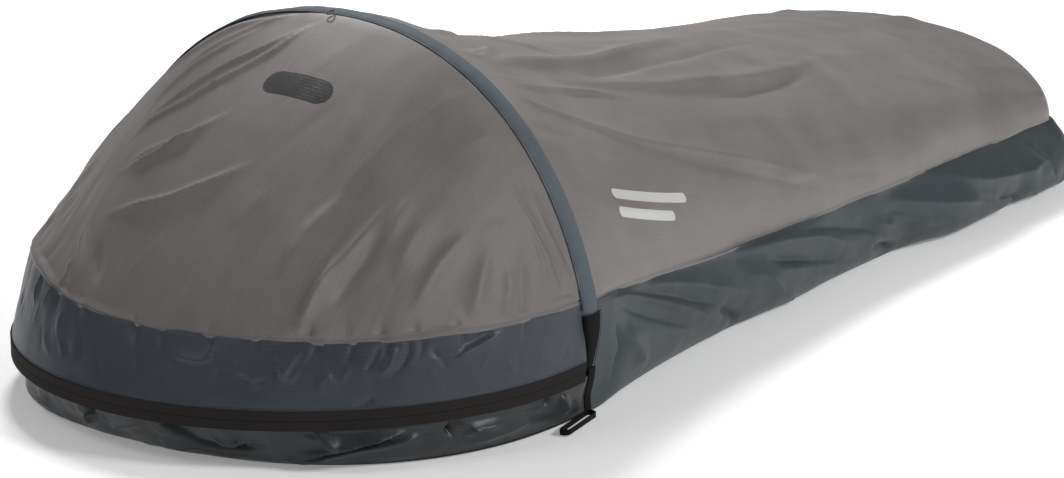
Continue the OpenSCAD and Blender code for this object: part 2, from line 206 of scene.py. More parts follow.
def zip_arc(g, f):
    """x and y of the zip's line, grown by g: a half circle with a short straight run at each end."""
    s = f * (2 * ZIP_RUN + math.pi * ZIP_R)
    a = np.clip((s - ZIP_RUN) / ZIP_R, 0, math.pi)
    run = np.maximum(0, ZIP_RUN - s) + np.maximum(0, s - ZIP_RUN - math.pi * ZIP_R)
    return ZIP_X - (ZIP_R + g) * np.sin(a) + run, -(ZIP_R + g) * np.cos(a)


def dome(a, s, q, m):
    """The corner between an arch a and a plan curve s, rounded by the power m: q is 0 at the arch."""
    o = point(a[..., 0], (a[..., 1] + s[..., 1]) / 2, s[..., 2])
    ca = (np.maximum(0, np.cos(q)) ** (2 / m))[..., None]
    sa = (np.maximum(0, np.sin(q)) ** (2 / m))[..., None]
    return o + ca * (a - o) + sa * (s - o)


NOISE_CELLS = 61


def noise(u, v, size_u, size_v, seed):
    """Smooth noise from -1 to 1 with cells of that size, in metres."""
    table = np.random.default_rng(seed).uniform(-1, 1, (NOISE_CELLS, NOISE_CELLS))
    x, y = u / size_u + 300.5, v / size_v + 300.5
    i, j = np.floor(x).astype(int), np.floor(y).astype(int)
    fx, fy = x - i, y - j
    fx, fy = fx**3 * (fx * (6 * fx - 15) + 10), fy**3 * (fy * (6 * fy - 15) + 10)

    def at(a, b):
        return table[a % NOISE_CELLS, b % NOISE_CELLS]

    return mix(
        mix(at(i, j), at(i + 1, j), fx), mix(at(i, j + 1), at(i + 1, j + 1), fx), fy
    )


# ---------------------------------------------------------------- panels of cloth
class Panel:
    """A piece of cloth as a grid of points, rows by columns, that folds push in and out."""

    def __init__(self, surface, rows, cols, inside):
        self.surface = surface
        self.rows, self.cols = rows, cols
        self.r, self.c = np.meshgrid(rows, cols, indexing="ij")
        self.base = surface(self.r, self.c)
        self.normal = self._normals(self.base, inside)
        self.push = np.zeros(self.r.shape)
        step_c = np.linalg.norm(np.diff(self.base, axis=1), axis=-1)
        step_r = np.linalg.norm(np.diff(self.base, axis=0), axis=-1)
        u = np.concatenate([np.zeros((len(rows), 1)), np.cumsum(step_c, 1)], 1)
        self.u = u - u[:, -1:] / 2
        self.v = np.concatenate([np.zeros((1, len(cols))), np.cumsum(step_r, 0)], 0)
        self.from_left, self.from_right = u, u[:, -1:] - u
        self.from_top, self.from_foot = self.v, self.v[-1:] - self.v

    @staticmethod
    def _normals(p, inside):
        n = unit(np.cross(np.gradient(p, axis=0), np.gradient(p, axis=1)))
        i, j = p.shape[0] // 2, p.shape[1] // 2
        return n if n[i, j] @ (p[i, j] - np.array(inside)) > 0 else -n

    def area(self):
        a = np.diff(self.base, axis=0)[:, :-1]
        b = np.diff(self.base, axis=1)[:-1]
        return float(np.linalg.norm(np.cross(a, b), axis=-1).sum())

    def flat(self):
        return float((self.from_left + self.from_right).max()), float(self.v.max())

    def fold(self, path, width, height, skew=0.0, crisp=1.3, ends=(0.3, 0.4)):
        """A ridge, or a furrow where height is negative, along a path of (row, column) places.

        Sizes are in millimetres; a lower power crisp gives a sharper crest."""
        path = np.array(path, float)
        height *= FOLD_DEPTH
        t = np.linspace(0, 1, len(path))
        s = np.linspace(0, 1, 12 * (len(path) - 1) + 1)
        way = np.stack([np.interp(s, t, path[:, k]) for k in (0, 1)], 1)
        for _ in range(6 if len(path) > 2 else 0):  # rounds the path's corners
            way[1:-1] = (way[:-2] + 2 * way[1:-1] + way[2:]) / 4
        line = self.surface(way[:, 0], way[:, 1])
        width, height = width / 1000, height / 1000
        reach = 3.2 * width
        lo, hi = line.min(0) - reach, line.max(0) + reach
        near = np.all((self.base > lo) & (self.base < hi), -1)
        p, n = self.base[near], self.normal[near]
        if not len(p):
            return
        best = np.full(len(p), np.inf)
        along = np.zeros(len(p))
        hand = np.zeros(len(p))
        for k in range(len(line) - 1):
            a, d = line[k], line[k + 1] - line[k]
            w = np.clip((p - a) @ d / max(d @ d, 1e-12), 0, 1)
            off = p - a - w[:, None] * d
            dist = np.linalg.norm(off, axis=1)
            closer = dist < best
            best[closer] = dist[closer]
            along[closer] = (k + w[closer]) / (len(line) - 1)
            hand[closer] = (np.cross(n[closer], d) * off[closer]).sum(1)
        hand = np.sign(hand)
        taper = smooth(0, ends[0], along) * smooth(0, ends[1], 1 - along)
        wide = width * (1 + skew * hand) * (0.55 + 0.45 * taper)
        self.push[near] += height * taper * np.exp(-((best / wide) ** crisp))

    def folds(self, rows):
        for row in rows:
            self.fold(*row)

    def ripple(self, size_u, size_v, height, seed, where=1.0):
        """Uneven undulation with cells of that size; sizes in millimetres."""
        wave = noise(self.u, self.v, size_u / 1000, size_v / 1000, seed)
        self.push += wave * height / 1000 * where

    def hold(self, **edges):
        """Presses the folds flat beside the edges named: flat up to start, and full from end."""
        held = 1.0
        for edge, (start, end) in edges.items():
            held = held * smooth(start, end, getattr(self, "from_" + edge))
        self.push *= held

    def scatter(self, count, seed, rows, cols, lean, length, width, height, crisp=1.5):
        """Folds at seeded places between two rows and two columns: length is in row and column."""
        rng = np.random.default_rng(seed)
        for _ in range(count):
            r0, c0 = rng.uniform(*rows), rng.uniform(*cols)
            dr, dc = length[0] * rng.uniform(0.5, 1.2), length[1] * rng.uniform(0.4, 1.2)
            bend = rng.uniform(-0.15, 0.15)
            tilt = lean * dr * rng.uniform(0.5, 1.5)
            path = [
                (r0, c0),
                (r0 + dr / 2, c0 + (dc + tilt) / 2 + bend * dc),
                (r0 + dr, c0 + dc + tilt),
            ]
            self.fold(
                path,
                width * rng.uniform(0.6, 1.4),
                height * rng.uniform(0.4, 1.2) * rng.choice([-0.7, 1]),
                rng.uniform(-0.4, 0.4),
                crisp,
                (0.4, 0.4),
            )

    def hem(self, sewn_edges):
        """How far each point is from the nearest sewn edge, and how far along that edge."""
        away = np.full(self.u.shape, 0.5)
        along = self.u.copy()
        edges = {
            "top": (self.from_top, self.u),
            "foot": (self.from_foot, self.u),
            "left": (self.from_left, self.v),
            "right": (self.from_right, self.v),
        }
        for edge in sewn_edges:
            distance, length = edges[edge]
            nearer = distance < away
            away[nearer] = distance[nearer]
            along[nearer] = length[nearer]
        return np.stack([away, along], -1)

    def points(self):
        return self.base + self.normal * self.push[..., None]


def quads(rows, cols, start, flip):
    i, j = np.meshgrid(np.arange(rows - 1), np.arange(cols - 1), indexing="ij")
    k = start + i * cols + j
    f = np.stack([k, k + cols, k + cols + 1, k + 1], -1).reshape(-1, 4)
    return f[:, ::-1] if flip else f


def full_turn(k):
    """k angles round a full turn."""
    return np.linspace(0, 2 * math.pi, k, endpoint=False)


def add_object(name, data):
    obj = bpy.data.objects.new(name, data)
    bpy.context.scene.collection.objects.link(obj)
    return obj


def make_mesh(name, verts, faces, cloth_uv=None, edge_uv=None, weld=None):
    """A mesh object from arrays. UVs are per vertex; weld joins vertices after they are mapped."""
    mesh = bpy.data.meshes.new(name)
    verts = np.asarray(verts, float).reshape(-1, 3)
    faces = [list(f) for f in faces]
    flat = np.array([k for f in faces for k in f])
    if weld is not None:
        faces = [[int(weld[k]) for k in f] for f in faces]
    mesh.from_pydata(verts.tolist(), [], faces)
    for label, data in (("cloth", cloth_uv), ("edge", edge_uv)):
        if data is not None:
            layer = mesh.uv_layers.new(name=label)
            pairs = np.asarray(data, np.float32).reshape(-1, 2)[flat]
            layer.data.foreach_set("uv", pairs.ravel())
    mesh.polygons.foreach_set("use_smooth", np.ones(len(mesh.polygons), bool))
    mesh.update()
    mesh.set_sharp_from_angle(angle=math.radians(SHARP_ANGLE))
    return add_object(name, mesh)


def shell(name, panel, hem, thickness=CLOTH):
    """A closed thin shell whose outer face is the panel."""
    outer = panel.points()
    rows, cols = outer.shape[:2]
    n = unit(np.cross(np.gradient(outer, axis=0), np.gradient(outer, axis=1)))
    turned = (n * panel.normal).sum(-1).mean() > 0
    n = n if turned else -n
    # a sliver's normal is not to be trusted, so it leans on the smooth one
    n = unit(n + 0.2 * panel.normal)
    inner = outer - n * thickness
    count = rows * cols
    rim = np.concatenate(
        [
            np.arange(cols),
            np.arange(1, rows) * cols + cols - 1,
            (rows - 1) * cols + np.arange(cols - 2, -1, -1),
            np.arange(rows - 2, 0, -1) * cols,
        ]
    )
    nxt = np.roll(rim, -1)
    wall = np.stack([rim, nxt, nxt + count, rim + count], 1)
    faces = np.concatenate(
        [
            quads(rows, cols, 0, not turned),
            quads(rows, cols, count, turned),
            wall if turned else wall[:, ::-1],
        ]
    )
    uv = np.stack([panel.u, panel.v], -1)
    return make_mesh(
        name,
        np.concatenate([outer.reshape(-1, 3), inner.reshape(-1, 3)]),
        faces.tolist(),
        np.concatenate([uv.reshape(-1, 2), uv.reshape(-1, 2) + INSIDE_SHIFT]),
        np.concatenate([hem.reshape(-1, 2)] * 2),
    )


def sweep(name, rings, closed=False, hollow=None, hem=0.5):
    """A solid swept through rings of points; closed joins its ends, hollow is the inner rings."""
    rings = np.asarray(rings, float)
    if closed:
        rings = np.concatenate([rings, rings[:1]])
    rows, k = rings.shape[:2]
    around = np.concatenate([rings, rings[:, :1]], 1)
    cols = k + 1
    step = np.linalg.norm(np.diff(around, axis=1), axis=-1)
    u = np.concatenate([np.zeros((rows, 1)), np.cumsum(step, 1)], 1)
    step = np.linalg.norm(np.diff(around.mean(1), axis=0), axis=-1)
    v = np.repeat(np.concatenate([[0.0], np.cumsum(step)])[:, None], cols, 1)
    i, j = np.meshgrid(np.arange(rows), np.arange(cols), indexing="ij")
    last = rows - 1 if closed else rows
    weld = (i % last) * k + j % k
    layers = [around]
    faces = quads(rows, cols, 0, False).tolist()
    real = [rings[:last].reshape(-1, 3)]
    if hollow is not None:
        hollow = np.asarray(hollow, float)
        layers.append(np.concatenate([hollow, hollow[:, :1]], 1))
        faces += quads(rows, cols, rows * cols, True).tolist()
        weld = np.concatenate([weld.ravel(), (weld + last * k).ravel()])
        real.append(hollow.reshape(-1, 3))
        for row, flip in ((0, False), (rows - 1, True)):
            for c in range(k):
                a = row * cols + c
                b = a + rows * cols
                face = [a, a + 1, b + 1, b]
                faces.append(face[::-1] if flip else face)
    elif not closed:
        faces.append(list(range(k)))
        faces.append([(rows - 1) * cols + c for c in range(k)][::-1])
    uv = np.concatenate([np.stack([v, u], -1).reshape(-1, 2)] * len(layers))
    edge = np.stack([np.full(len(uv), hem), uv[:, 0]], -1)
    obj = make_mesh(name, np.concatenate(real), faces, uv, edge, weld.ravel())
    face_out(obj)
    return obj


def face_out(obj):
    """Turns a closed mesh's faces outwards."""
    mesh = obj.data
    co = np.zeros(len(mesh.vertices) * 3)
    mesh.vertices.foreach_get("co", co)
    co = co.reshape(-1, 3)
    mesh.calc_loop_triangles()
    tri = np.zeros(len(mesh.loop_triangles) * 3, np.int32)
    mesh.loop_triangles.foreach_get("vertices", tri)
    a, b, c = (co[tri.reshape(-1, 3)[:, k]] for k in range(3))
    if (a * np.cross(b, c)).sum() < 0:
        mesh.flip_normals()


# ---------------------------------------------------------------- materials
class Paint:
    """A procedural material, built node by node."""

    def __init__(self, name):
        self.mat = bpy.data.materials.new(name)
        self.mat.use_nodes = True
        self.tree = self.mat.node_tree
        self.bsdf = self.tree.nodes["Principled BSDF"]

    def put(self, socket, value):
        if hasattr(value, "is_output"):
            self.tree.links.new(value, socket)
        else:
            socket.default_value = value

    def node(self, kind, *inputs, **props):
        n = self.tree.nodes.new("ShaderNode" + kind)
        for k, v in props.items():
            setattr(n, k, v)
        for socket, value in zip(n.inputs, inputs):
            if value is not None:
                self.put(socket, value)
        return n

    def math(self, op, *inputs):
        return self.node("Math", *inputs, operation=op).outputs[0]

    def plus(self, a, b):
        return self.math("ADD", a, b)

    def minus(self, a, b):
        return self.math("SUBTRACT", a, b)

    def times(self, a, b):
        return self.math("MULTIPLY", a, b)

    def uv(self, name):
        n = self.node("UVMap", uv_map=name)
        s = self.node("SeparateXYZ", n.outputs[0])
        return n.outputs[0], s.outputs[0], s.outputs[1]

    def noise(self, vector, scale, detail=2.0, rough=0.5, stretch=None):
        if stretch is not None:
            m = self.node("Mapping", vector, vector_type="POINT")
            m.inputs["Scale"].default_value = stretch
            vector = m.outputs[0]
        n = self.node("TexNoise")
        self.put(n.inputs["Vector"], vector)
        n.inputs["Scale"].default_value = scale
        n.inputs["Detail"].default_value = detail
        n.inputs["Roughness"].default_value = rough
        return n.outputs[0]

    def ramp(self, value, from_min, from_max, to_min=0.0, to_max=1.0):
        n = self.node("MapRange", interpolation_type="SMOOTHSTEP")
        self.put(n.inputs["Value"], value)
        for label, v in (
            ("From Min", from_min),
            ("From Max", from_max),
            ("To Min", to_min),
            ("To Max", to_max),
        ):
            n.inputs[label].default_value = v
        return n.outputs["Result"]

    def band(self, value, pitch, width):
        """1 on lines of that width every pitch, and 0 between them, with soft edges."""
        return self.ramp(self.math("PINGPONG", value, pitch / 2), width / 2, width, 1.0, 0.0)

    def lozenge(self, u, v, centre, half, corner, lean=0.0):
        """1 inside a rectangle with round corners, and 0 outside it."""
        y = self.minus(v, centre[1])
        x = self.minus(u, centre[0])
        x = self.plus(x, self.times(y, lean))
        away = []
        for value, size in ((x, half[0]), (y, half[1])):
            out = self.minus(self.math("ABSOLUTE", value), size - corner)
            out = self.math("MAXIMUM", out, 0.0)
            away.append(self.times(out, out))
        reach = self.math("SQRT", self.plus(*away))
        return self.ramp(reach, corner - 0.0008, corner + 0.0002, 1.0, 0.0)

    def mix(self, factor, a, b):
        n = self.node("Mix", data_type="RGBA")
        self.put(n.inputs["Factor"], factor)
        self.put(n.inputs[6], a)
        self.put(n.inputs[7], b)
        return n.outputs[2]

    def scale_colour(self, colour, factor):
        n = self.node("Mix", data_type="RGBA", blend_type="MULTIPLY")
        n.inputs["Factor"].default_value = 1.0
        self.put(n.inputs[6], colour)
        grey = self.node("CombineColor", factor, factor, factor)
        self.put(n.inputs[7], grey.outputs[0])
        return n.outputs[2]

    def bump(self, height, strength, distance):
        n = self.node("Bump")
        n.inputs["Strength"].default_value = strength
        n.inputs["Distance"].default_value = distance
        self.put(n.inputs["Height"], height)
        self.put(self.bsdf.inputs["Normal"], n.outputs[0])

    def set(self, **values):
        for k, v in values.items():
            self.put(self.bsdf.inputs[k.replace("_", " ")], v)
        return self


def rgba(colour, k=1.0):
    return (colour[0] * k, colour[1] * k, colour[2] * k, 1.0)


def srgb(r, g, b):
    """A colour of the ordinary 0 to 255 kind as the shader's linear one."""
    return tuple(
        c / 12.92 if c <= 0.04045 else ((c + 0.055) / 1.055) ** 2.4
        for c in (r / 255, g / 255, b / 255)
    )


def cloth(name, colour, rough, grid_tone, marks=(), **look):
    """Woven cloth: a ripstop grid, threads, uneven dye, crinkles, and a stitched seam by its edges."""
    sheen = look.get("sheen", 0.12)
    weave = look.get("weave", 0.0011)
    grid = look.get("grid", 0.0055)
    crinkle = look.get("crinkle", 0.4)
    p = Paint(name)
    vector, u, v = p.uv("cloth")
    _, edge, along = p.uv("edge")
    lines = p.math("MAXIMUM", p.band(u, grid, grid * 0.12), p.band(v, grid, grid * 0.12))
    blotch = p.noise(vector, 9.0, 3.0, 0.55)
    fine = p.noise(vector, 420.0, 2.0, 0.6)
    streak = p.noise(vector, 1.0, 2.0, 0.5, (260.0, 14.0, 1.0))
    creases = p.noise(vector, 34.0, 3.0, 0.6)
    tone = p.ramp(blotch, 0.3, 0.7, 0.93, 1.07)
    tone = p.times(tone, p.ramp(fine, 0.3, 0.7, 0.93, 1.07))
    tone = p.times(tone, p.ramp(streak, 0.3, 0.7, 0.97, 1.03))
    tone = p.times(tone, p.ramp(lines, 0.0, 1.0, 1.0, 1.0 + grid_tone))
    warp = p.math("SINE", p.times(u, 2 * math.pi / weave))
    weft = p.math("SINE", p.times(v, 2 * math.pi / weave))
    height = p.times(p.times(warp, weft), 0.015)
    height = p.plus(height, p.times(lines, 0.07))
    height = p.plus(height, p.times(fine, 0.08))
    height = p.plus(height, p.times(creases, crinkle))
    rough_out = p.ramp(blotch, 0.3, 0.7, rough - 0.04, rough + 0.05)
    hem = p.ramp(edge, 0.0068, 0.0082, 1.0, 0.0)
    row = p.math("ABSOLUTE", p.minus(edge, 0.0056))
    row = p.ramp(row, 0.0002, 0.0006, 1.0, 0.0)
    dash = p.band(along, 0.0034, 0.0011)
    thread = p.times(row, p.minus(1.0, dash))
    height = p.plus(height, p.times(hem, 0.45))
    height = p.plus(height, p.times(row, -0.30))
    height = p.plus(height, p.times(thread, 0.45))
    colour_out = p.scale_colour(rgba(colour), tone)
    colour_out = p.scale_colour(colour_out, p.ramp(hem, 0.0, 1.0, 1.0, 0.94))
    colour_out = p.mix(thread, colour_out, rgba(colour, 0.75))
    for centre, half, corner, lean, ink in marks:
        mask = p.lozenge(u, v, centre, half, corner, lean)
        mask = p.times(mask, p.ramp(fine, 0.22, 0.32, 0.75, 1.0))
        colour_out = p.mix(mask, colour_out, rgba(ink))
        rough_out = p.minus(rough_out, p.times(mask, 0.15))
    p.set(
        Base_Color=colour_out,
        Roughness=rough_out,
        Sheen_Weight=sheen,
        Sheen_Roughness=0.45,
        Specular_IOR_Level=look.get("specular", 0.4),
    )
    p.bump(height, 0.6, 0.0010)
    return p.mat


def hard(name, colour, rough, metal=0.0, grain=0.05):
    """Moulded plastic or metal with a fine grain and handling marks."""
    p = Paint(name)
    coords = p.node("TexCoord").outputs["Object"]
    fine = p.noise(coords, 900.0, 2.0)
    marks = p.noise(coords, 60.0, 4.0, 0.65)
    tone = p.ramp(marks, 0.35, 0.7, 0.9, 1.15)
    tone = p.times(tone, p.ramp(fine, 0.3, 0.7, 0.95, 1.05))
    p.set(
        Base_Color=p.scale_colour(rgba(colour), tone),
        Roughness=p.ramp(marks, 0.3, 0.7, rough - 0.06, rough + 0.1),
        Metallic=metal,
    )
    p.bump(fine, grain, 0.0004)
    return p.mat


def webbing_paint(name, colour, rib=0.0016, edge_line=None):
    """Woven webbing: ribs across it, lighter on their crests and darker in their hollows as painted light
    and shade, uneven yarn, and a stitched line near its edges.
    """
    p = Paint(name)
    vector, u, v = p.uv("cloth")
    ribs = p.math("SINE", p.times(u, 2 * math.pi / rib))
    rows = p.math("SINE", p.times(v, 2 * math.pi / (rib * 1.4)))
    weave = p.times(ribs, rows)
    fine = p.noise(vector, 900.0, 2.0)
    # The weave's colour is lighter where it stands up and darker where it dips: painted light and shade
    # on its relief.
    tone = p.ramp(weave, -1, 1, 0.72, 1.3)
    tone = p.times(tone, p.ramp(fine, 0.3, 0.7, 0.8, 1.2))
    height = p.plus(p.times(weave, 0.3), p.times(fine, 0.15))
    colour_out = p.scale_colour(rgba(colour), tone)
    if edge_line is not None:
        place, ink = edge_line
        row = p.math("ABSOLUTE", p.minus(v, place))
        row = p.ramp(row, 0.0004, 0.0009, 1.0, 0.0)
        row = p.times(row, p.minus(1.0, p.band(u, 0.0036, 0.0008)))
        colour_out = p.mix(row, colour_out, rgba(ink))
        height = p.plus(height, p.times(row, 0.4))
    p.set(
        Base_Color=colour_out,
        Roughness=0.8,
        Sheen_Weight=0.02,
        Specular_IOR_Level=0.15,
    )
    p.bump(height, 0.7, 0.0006)
    return p.mat


# ---------------------------------------------------------------- camera, floor and light
TARGET = np.array([HOOP_X + 0.4702, -0.0012, 0.0799])
AZIMUTH = -56.0
ELEVATION = 14.37
DISTANCE = 4.239
SENSOR_MM = 36
FOCAL_MM = SENSOR_MM * 2792 / 1064  # fitted, for an image 1064 wide
LIGHTS_AIM = (0, 0, 0.2)


def towards(azimuth, elevation):
    a, e = math.radians(azimuth), math.radians(elevation)
    return Vector((math.sin(a) * math.cos(e), -math.cos(a) * math.cos(e), math.sin(e)))


def aimed(name, data, target, azimuth, elevation, distance):
    """An object that looks at a target from that side, height and distance."""
    back = towards(azimuth, elevation)
    obj = add_object(name, data)
    obj.location = Vector(target) + back * distance
    obj.rotation_mode = "QUATERNION"
    obj.rotation_quaternion = (-back).to_track_quat("-Z", "Y")
    return obj


def make_camera():
    data = bpy.data.cameras.new("camera")
    data.lens = FOCAL_MM
    data.sensor_width = SENSOR_MM
    data.clip_end = 60
    bpy.context.scene.camera = aimed("camera", data, TARGET, AZIMUTH, ELEVATION, DISTANCE)


def area_light(name, azimuth, elevation, distance, size, power):
    data = bpy.data.lights.new(name, "AREA")
    data.shape = "RECTANGLE"
    data.size, data.size_y = size
    data.energy = power
    aimed(name, data, LIGHTS_AIM, azimuth, elevation, distance)


def make_stage():
    world = bpy.data.worlds.new("studio")
    bpy.context.scene.world = world
    world.use_nodes = True
    sky = world.node_tree.nodes["Background"]
    sky.inputs[0].default_value = (1, 1, 1, 1)
    sky.inputs[1].default_value = 0.17
    p = Paint("stage_floor")
    coords = p.node("TexCoord").outputs["Object"]
    soft = p.noise(coords, 0.8, 2.0)
    far = p.node("VectorMath", coords, operation="LENGTH").outputs["Value"]
    p.set(
        Base_Color=p.scale_colour(rgba((0.9, 0.9, 0.9)), p.ramp(soft, 0.2, 0.8, 0.99, 1.01)),
        Roughness=0.8,
        Specular_IOR_Level=0.1,
        Emission_Color=(1, 1, 1, 1),
        Emission_Strength=p.ramp(far, 0.8, 2.6, 0.20, 0.72),
    )
    size, under = 30.0, -0.001
    corners = ((-size, -size), (size, -size), (size, size), (-size, size))
    floor = make_mesh("stage_floor", [(x, y, under) for x, y in corners], [(0, 1, 2, 3)])
    floor.data.materials.append(p.mat)
    area_light("overhead", 150, 56, 3.2, (0.7, 0.5), 84)
    area_light("left", -118, 46, 4.2, (1.6, 1.2), 21)
    area_light("front", 2, 32, 4.6, (1.0, 0.8), 98)
    bpy.context.scene.view_settings.view_transform = "Standard"


make_camera()
make_stage()


# ---------------------------------------------------------------- the surfaces
def fade(s, length):
    return np.exp(-((np.maximum(0, s) / length) ** FADE))


def seam_h(s):
    rise = SEAM_RISE * np.exp(-np.maximum(0, s) / RISE_LEN)
    return mix(SEAM_HEAD, SEAM_FOOT, s / WHOLE_LEN) + rise


def ridge_h(s):
    return mix(RIDGE_HEAD, RIDGE_FOOT, s / BODY_LEN)


def floor_half(s):
    return mix(BODY_HALF - WALL_TUCK, HEAD_HALF, fade(s, FLOOR_FLARE))


def leg_y(z, g=0.0):
    """Half width of the hoop's outline, grown by g, at a height z."""
    return (HOOP_HALF + g) * (1 - (np.clip(z, 0, HOOP_H) / HOOP_H) ** HOOP_N) ** (1 / HOOP_N) - tuck(z)


def corner_y(z):
    """Half width of the cloth beside the pole's foot, down to the floor's edge."""
    return mix(HEAD_HALF + 0.0015, leg_y(z, -0.002), smooth(0.0, 0.05, z))


def seam_sway(s, seed):
    """How far the side seam wanders in and out."""
    long, short = noise(s, s, 0.11, 1.0, seed), noise(s, s, 0.026, 1.0, seed + 1)
    return (0.0028 * long + 0.0007 * short) * smooth(0.03, 0.12, s) * smooth(0.0, 0.10, BODY_LEN - s)


def body_section(s, f):
    """y and z of the body's top at a distance s behind the pole: f is 0 at the right, 1 at the left."""
    z0 = seam_h(s)
    y = -BODY_HALF * spow(np.cos(math.pi * f), 2 / BODY_N)
    z = z0 + (ridge_h(s) - z0) * np.maximum(0, np.sin(math.pi * f)) ** (2 / BODY_N)
    ay, az = hoop_over(-BODY_INSET, SEAM_HEAD + SEAM_RISE, f)
    near_edge = np.exp(-((f / 0.05) ** 2)), np.exp(-(((1 - f) / 0.05) ** 2))
    sway = -near_edge[0] * seam_sway(s, 11) + near_edge[1] * seam_sway(s, 21)
    return mix(y, ay, fade(s, FLARE_LEN)) + sway, mix(z, az, fade(s, SADDLE_LEN))


def bulge(h):
    return WALL_BULGE * np.sin(math.pi * np.clip(h, 0, 1) ** 0.8)


def hanging(s):
    """How far the side wall hangs out over the ground at a distance s behind the pole."""
    reach = HANG + HANG_MIDDLE * gauss(s, 0.60, 0.15)
    reach = reach + HANG_FOOT * smooth(0.92, 1.16, s) * (1 - smooth(1.48, 1.72, s))
    for nip, depth in NIPS:
        reach = reach * (1 - depth * np.exp(-((s - nip) / NIP_WIDTH) ** 2))
    return reach


def hang_share(h):
    """How the hanging cloth shares its reach over the wall's height: most of it is near the ground."""
    return np.sin(math.pi * np.clip(h, 0, 1) ** 0.4) ** 0.8


def wall_surface(s, h, hand=-1):
    """A side wall: h is 0 at the floor and 1 at the seam; hand is -1 at the right and 1 at the left."""
    sy, sz = body_section(s, np.full_like(s, 0.0 if hand < 0 else 1.0))
    z = mix(FLOOR_TOP, sz, h)
    inner = np.clip(h, 0, 1)
    hang = hanging(s) * hang_share(inner)
    y = mix(floor_half(s), np.abs(sy), inner) + bulge(h) + hang
    y = mix(corner_y(z), y, smooth(0.006, 0.11, s))
    return point(HOOP_X + s, hand * y, z)


def top_surface(s, f):
    """The body's top: past its two seams it laps a little way down over the walls."""
    inner = np.clip(f, 0, 1)
    y, z = body_section(s, inner)
    lap = np.abs(f - inner) / LAP_SHARE
    out = np.where(f < 0.5, -1.0, 1.0) * (0.0002 + np.minimum(lap, 0.3) * 0.003)
    edge = np.minimum(inner, 1 - inner) < 1e-6
    return point(HOOP_X + s, y + np.where(edge, out, 0), z - lap * LAP)


def foot_surface(k, f):
    """The foot panel: k is below 0 on the body's top, 0 to 1 round the foot, and over 1 on its lap."""
    inner = np.clip(f, 0.002, 0.998)
    s = np.where(k < 0, mix(BODY_LEN, FOOT_SEAM, -k), BODY_LEN)
    y, z = body_section(s, inner)
    y_end, z_end = body_section(np.full_like(s, BODY_LEN), inner)
    ex, ey = end_arc(FOOT_X, BODY_HALF, FOOT_LEN - WALL_BULGE, FOOT_N, inner)
    q = np.clip(k, 0, 1) * math.pi / 2
    low_edge = point(ex, ey, np.full_like(ex, SEAM_FOOT))
    round_end = dome(point(np.full_like(s, FOOT_X), y_end, z_end), low_edge, q, FOOT_M)
    p = np.where((k < 0)[..., None], point(HOOP_X + s, y, z), round_end)
    past = np.clip((k - 1) / LAP_SHARE, 0, 1)
    past = np.maximum(past, np.clip(1 - np.minimum(f, 1 - f) / 0.012, 0, 1))
    grow = 1 + 0.002 * np.minimum(past * 3, 1)
    p[..., 0] = FOOT_X + (p[..., 0] - FOOT_X) * np.where(k > 1, grow, 1)
    p[..., 1] *= grow
    p[..., 2] -= past * LAP
    return p


def foot_wall_surface(h, f):
    """The foot's wall: h is 0 at the floor and 1 at the seam, and f runs round the end."""
    inner = np.clip(h, 0, 1)
    b = bulge(inner) + 0.006 * np.sin(math.pi * inner**0.5) * np.sin(math.pi * f) ** 2
    b += hanging(BODY_LEN) * hang_share(inner) * np.abs(np.cos(math.pi * f)) ** 3
    w = mix(BODY_HALF - WALL_TUCK, BODY_HALF, inner) + b
    d = FOOT_LEN - WALL_TUCK * (1 - inner) + b - WALL_BULGE
    x, y = end_arc(FOOT_X, w, d, FOOT_N, f)
    return point(x, y, mix(FLOOR_TOP, SEAM_FOOT, h))


def door_seam(f):
    """x, y and z of the seam between the door's light and dark cloth, which climbs at the far side."""
    w = -hoop_over(-HOOD_INSET, BAND_TOP, 0.0)[0]
    x, y = end_arc(DOOR_X, w, DOOR_FRONT - DOOR_X, SEAM_N, f)
    inner = smooth(0.0, 0.10, f) * smooth(0.0, 0.10, 1 - f)
    s = f * 1.3
    sway = (0.0034 * noise(s, s, 0.12, 1, 31) + 0.0016 * noise(s, s, 0.024, 1, 32)) * inner
    sway = sway - SEAM_DRAW * gauss(f, 0.74, 0.13)
    out = unit(point(x - DOOR_X, y * 0.5, np.zeros_like(x)))
    rise = SEAM_CLIMB * smooth(0.52, 0.70, f) * smooth(0.0, 0.16, 1 - f)
    rise += 0.0032 * noise(s, s, 0.05, 1, 33) * inner
    return x + out[..., 0] * sway, y + out[..., 1] * sway, BAND_TOP + rise


def hood_surface(q, f):
    """The hood's light cloth: q is 0 at the hoop, 1 at the seam, and over 1 where it laps the band."""
    f = np.clip(f, 0.003, 0.997)
    inner = np.clip(q, 0, 1)
    sx, sy, sz = door_seam(f)
    ay, az = hoop_over(-HOOD_INSET, BAND_TOP, f)
    arch = point(np.full_like(ay, DOOR_X), ay, az)
    p = dome(arch, point(sx, sy, np.full_like(sx, BAND_TOP)), inner * math.pi / 2, HOOD_M)
    p[..., 2] += (sz - BAND_TOP) * smooth(0.3, 1.0, inner)
    p[..., 0] += (HOOP_X - 0.010 - DOOR_X) * np.clip(1 - inner / 0.03, 0, 1) ** 1.5
    past = (q - inner) / LAP_SHARE
    out = unit(point(sx - DOOR_X, sy * 0.6, np.zeros_like(sx)))
    p += out * (np.minimum(past, 0.3) * 0.003)[..., None]
    p[..., 2] -= past * LAP
    return p


def to_corner(p, f, end=CORNER_END):
    """Past its two ends a cloth of the door or the head wall runs back to the pole's foot."""
    past = np.maximum(0, np.abs(f - 0.5) - 0.5) / LAP_SHARE
    p[..., 0] += past * (end - DOOR_X)
    side = np.sign(p[..., 1])
    p[..., 1] = mix(p[..., 1], side * (corner_y(p[..., 2]) - 0.001), smooth(0, 1, past))
    return p


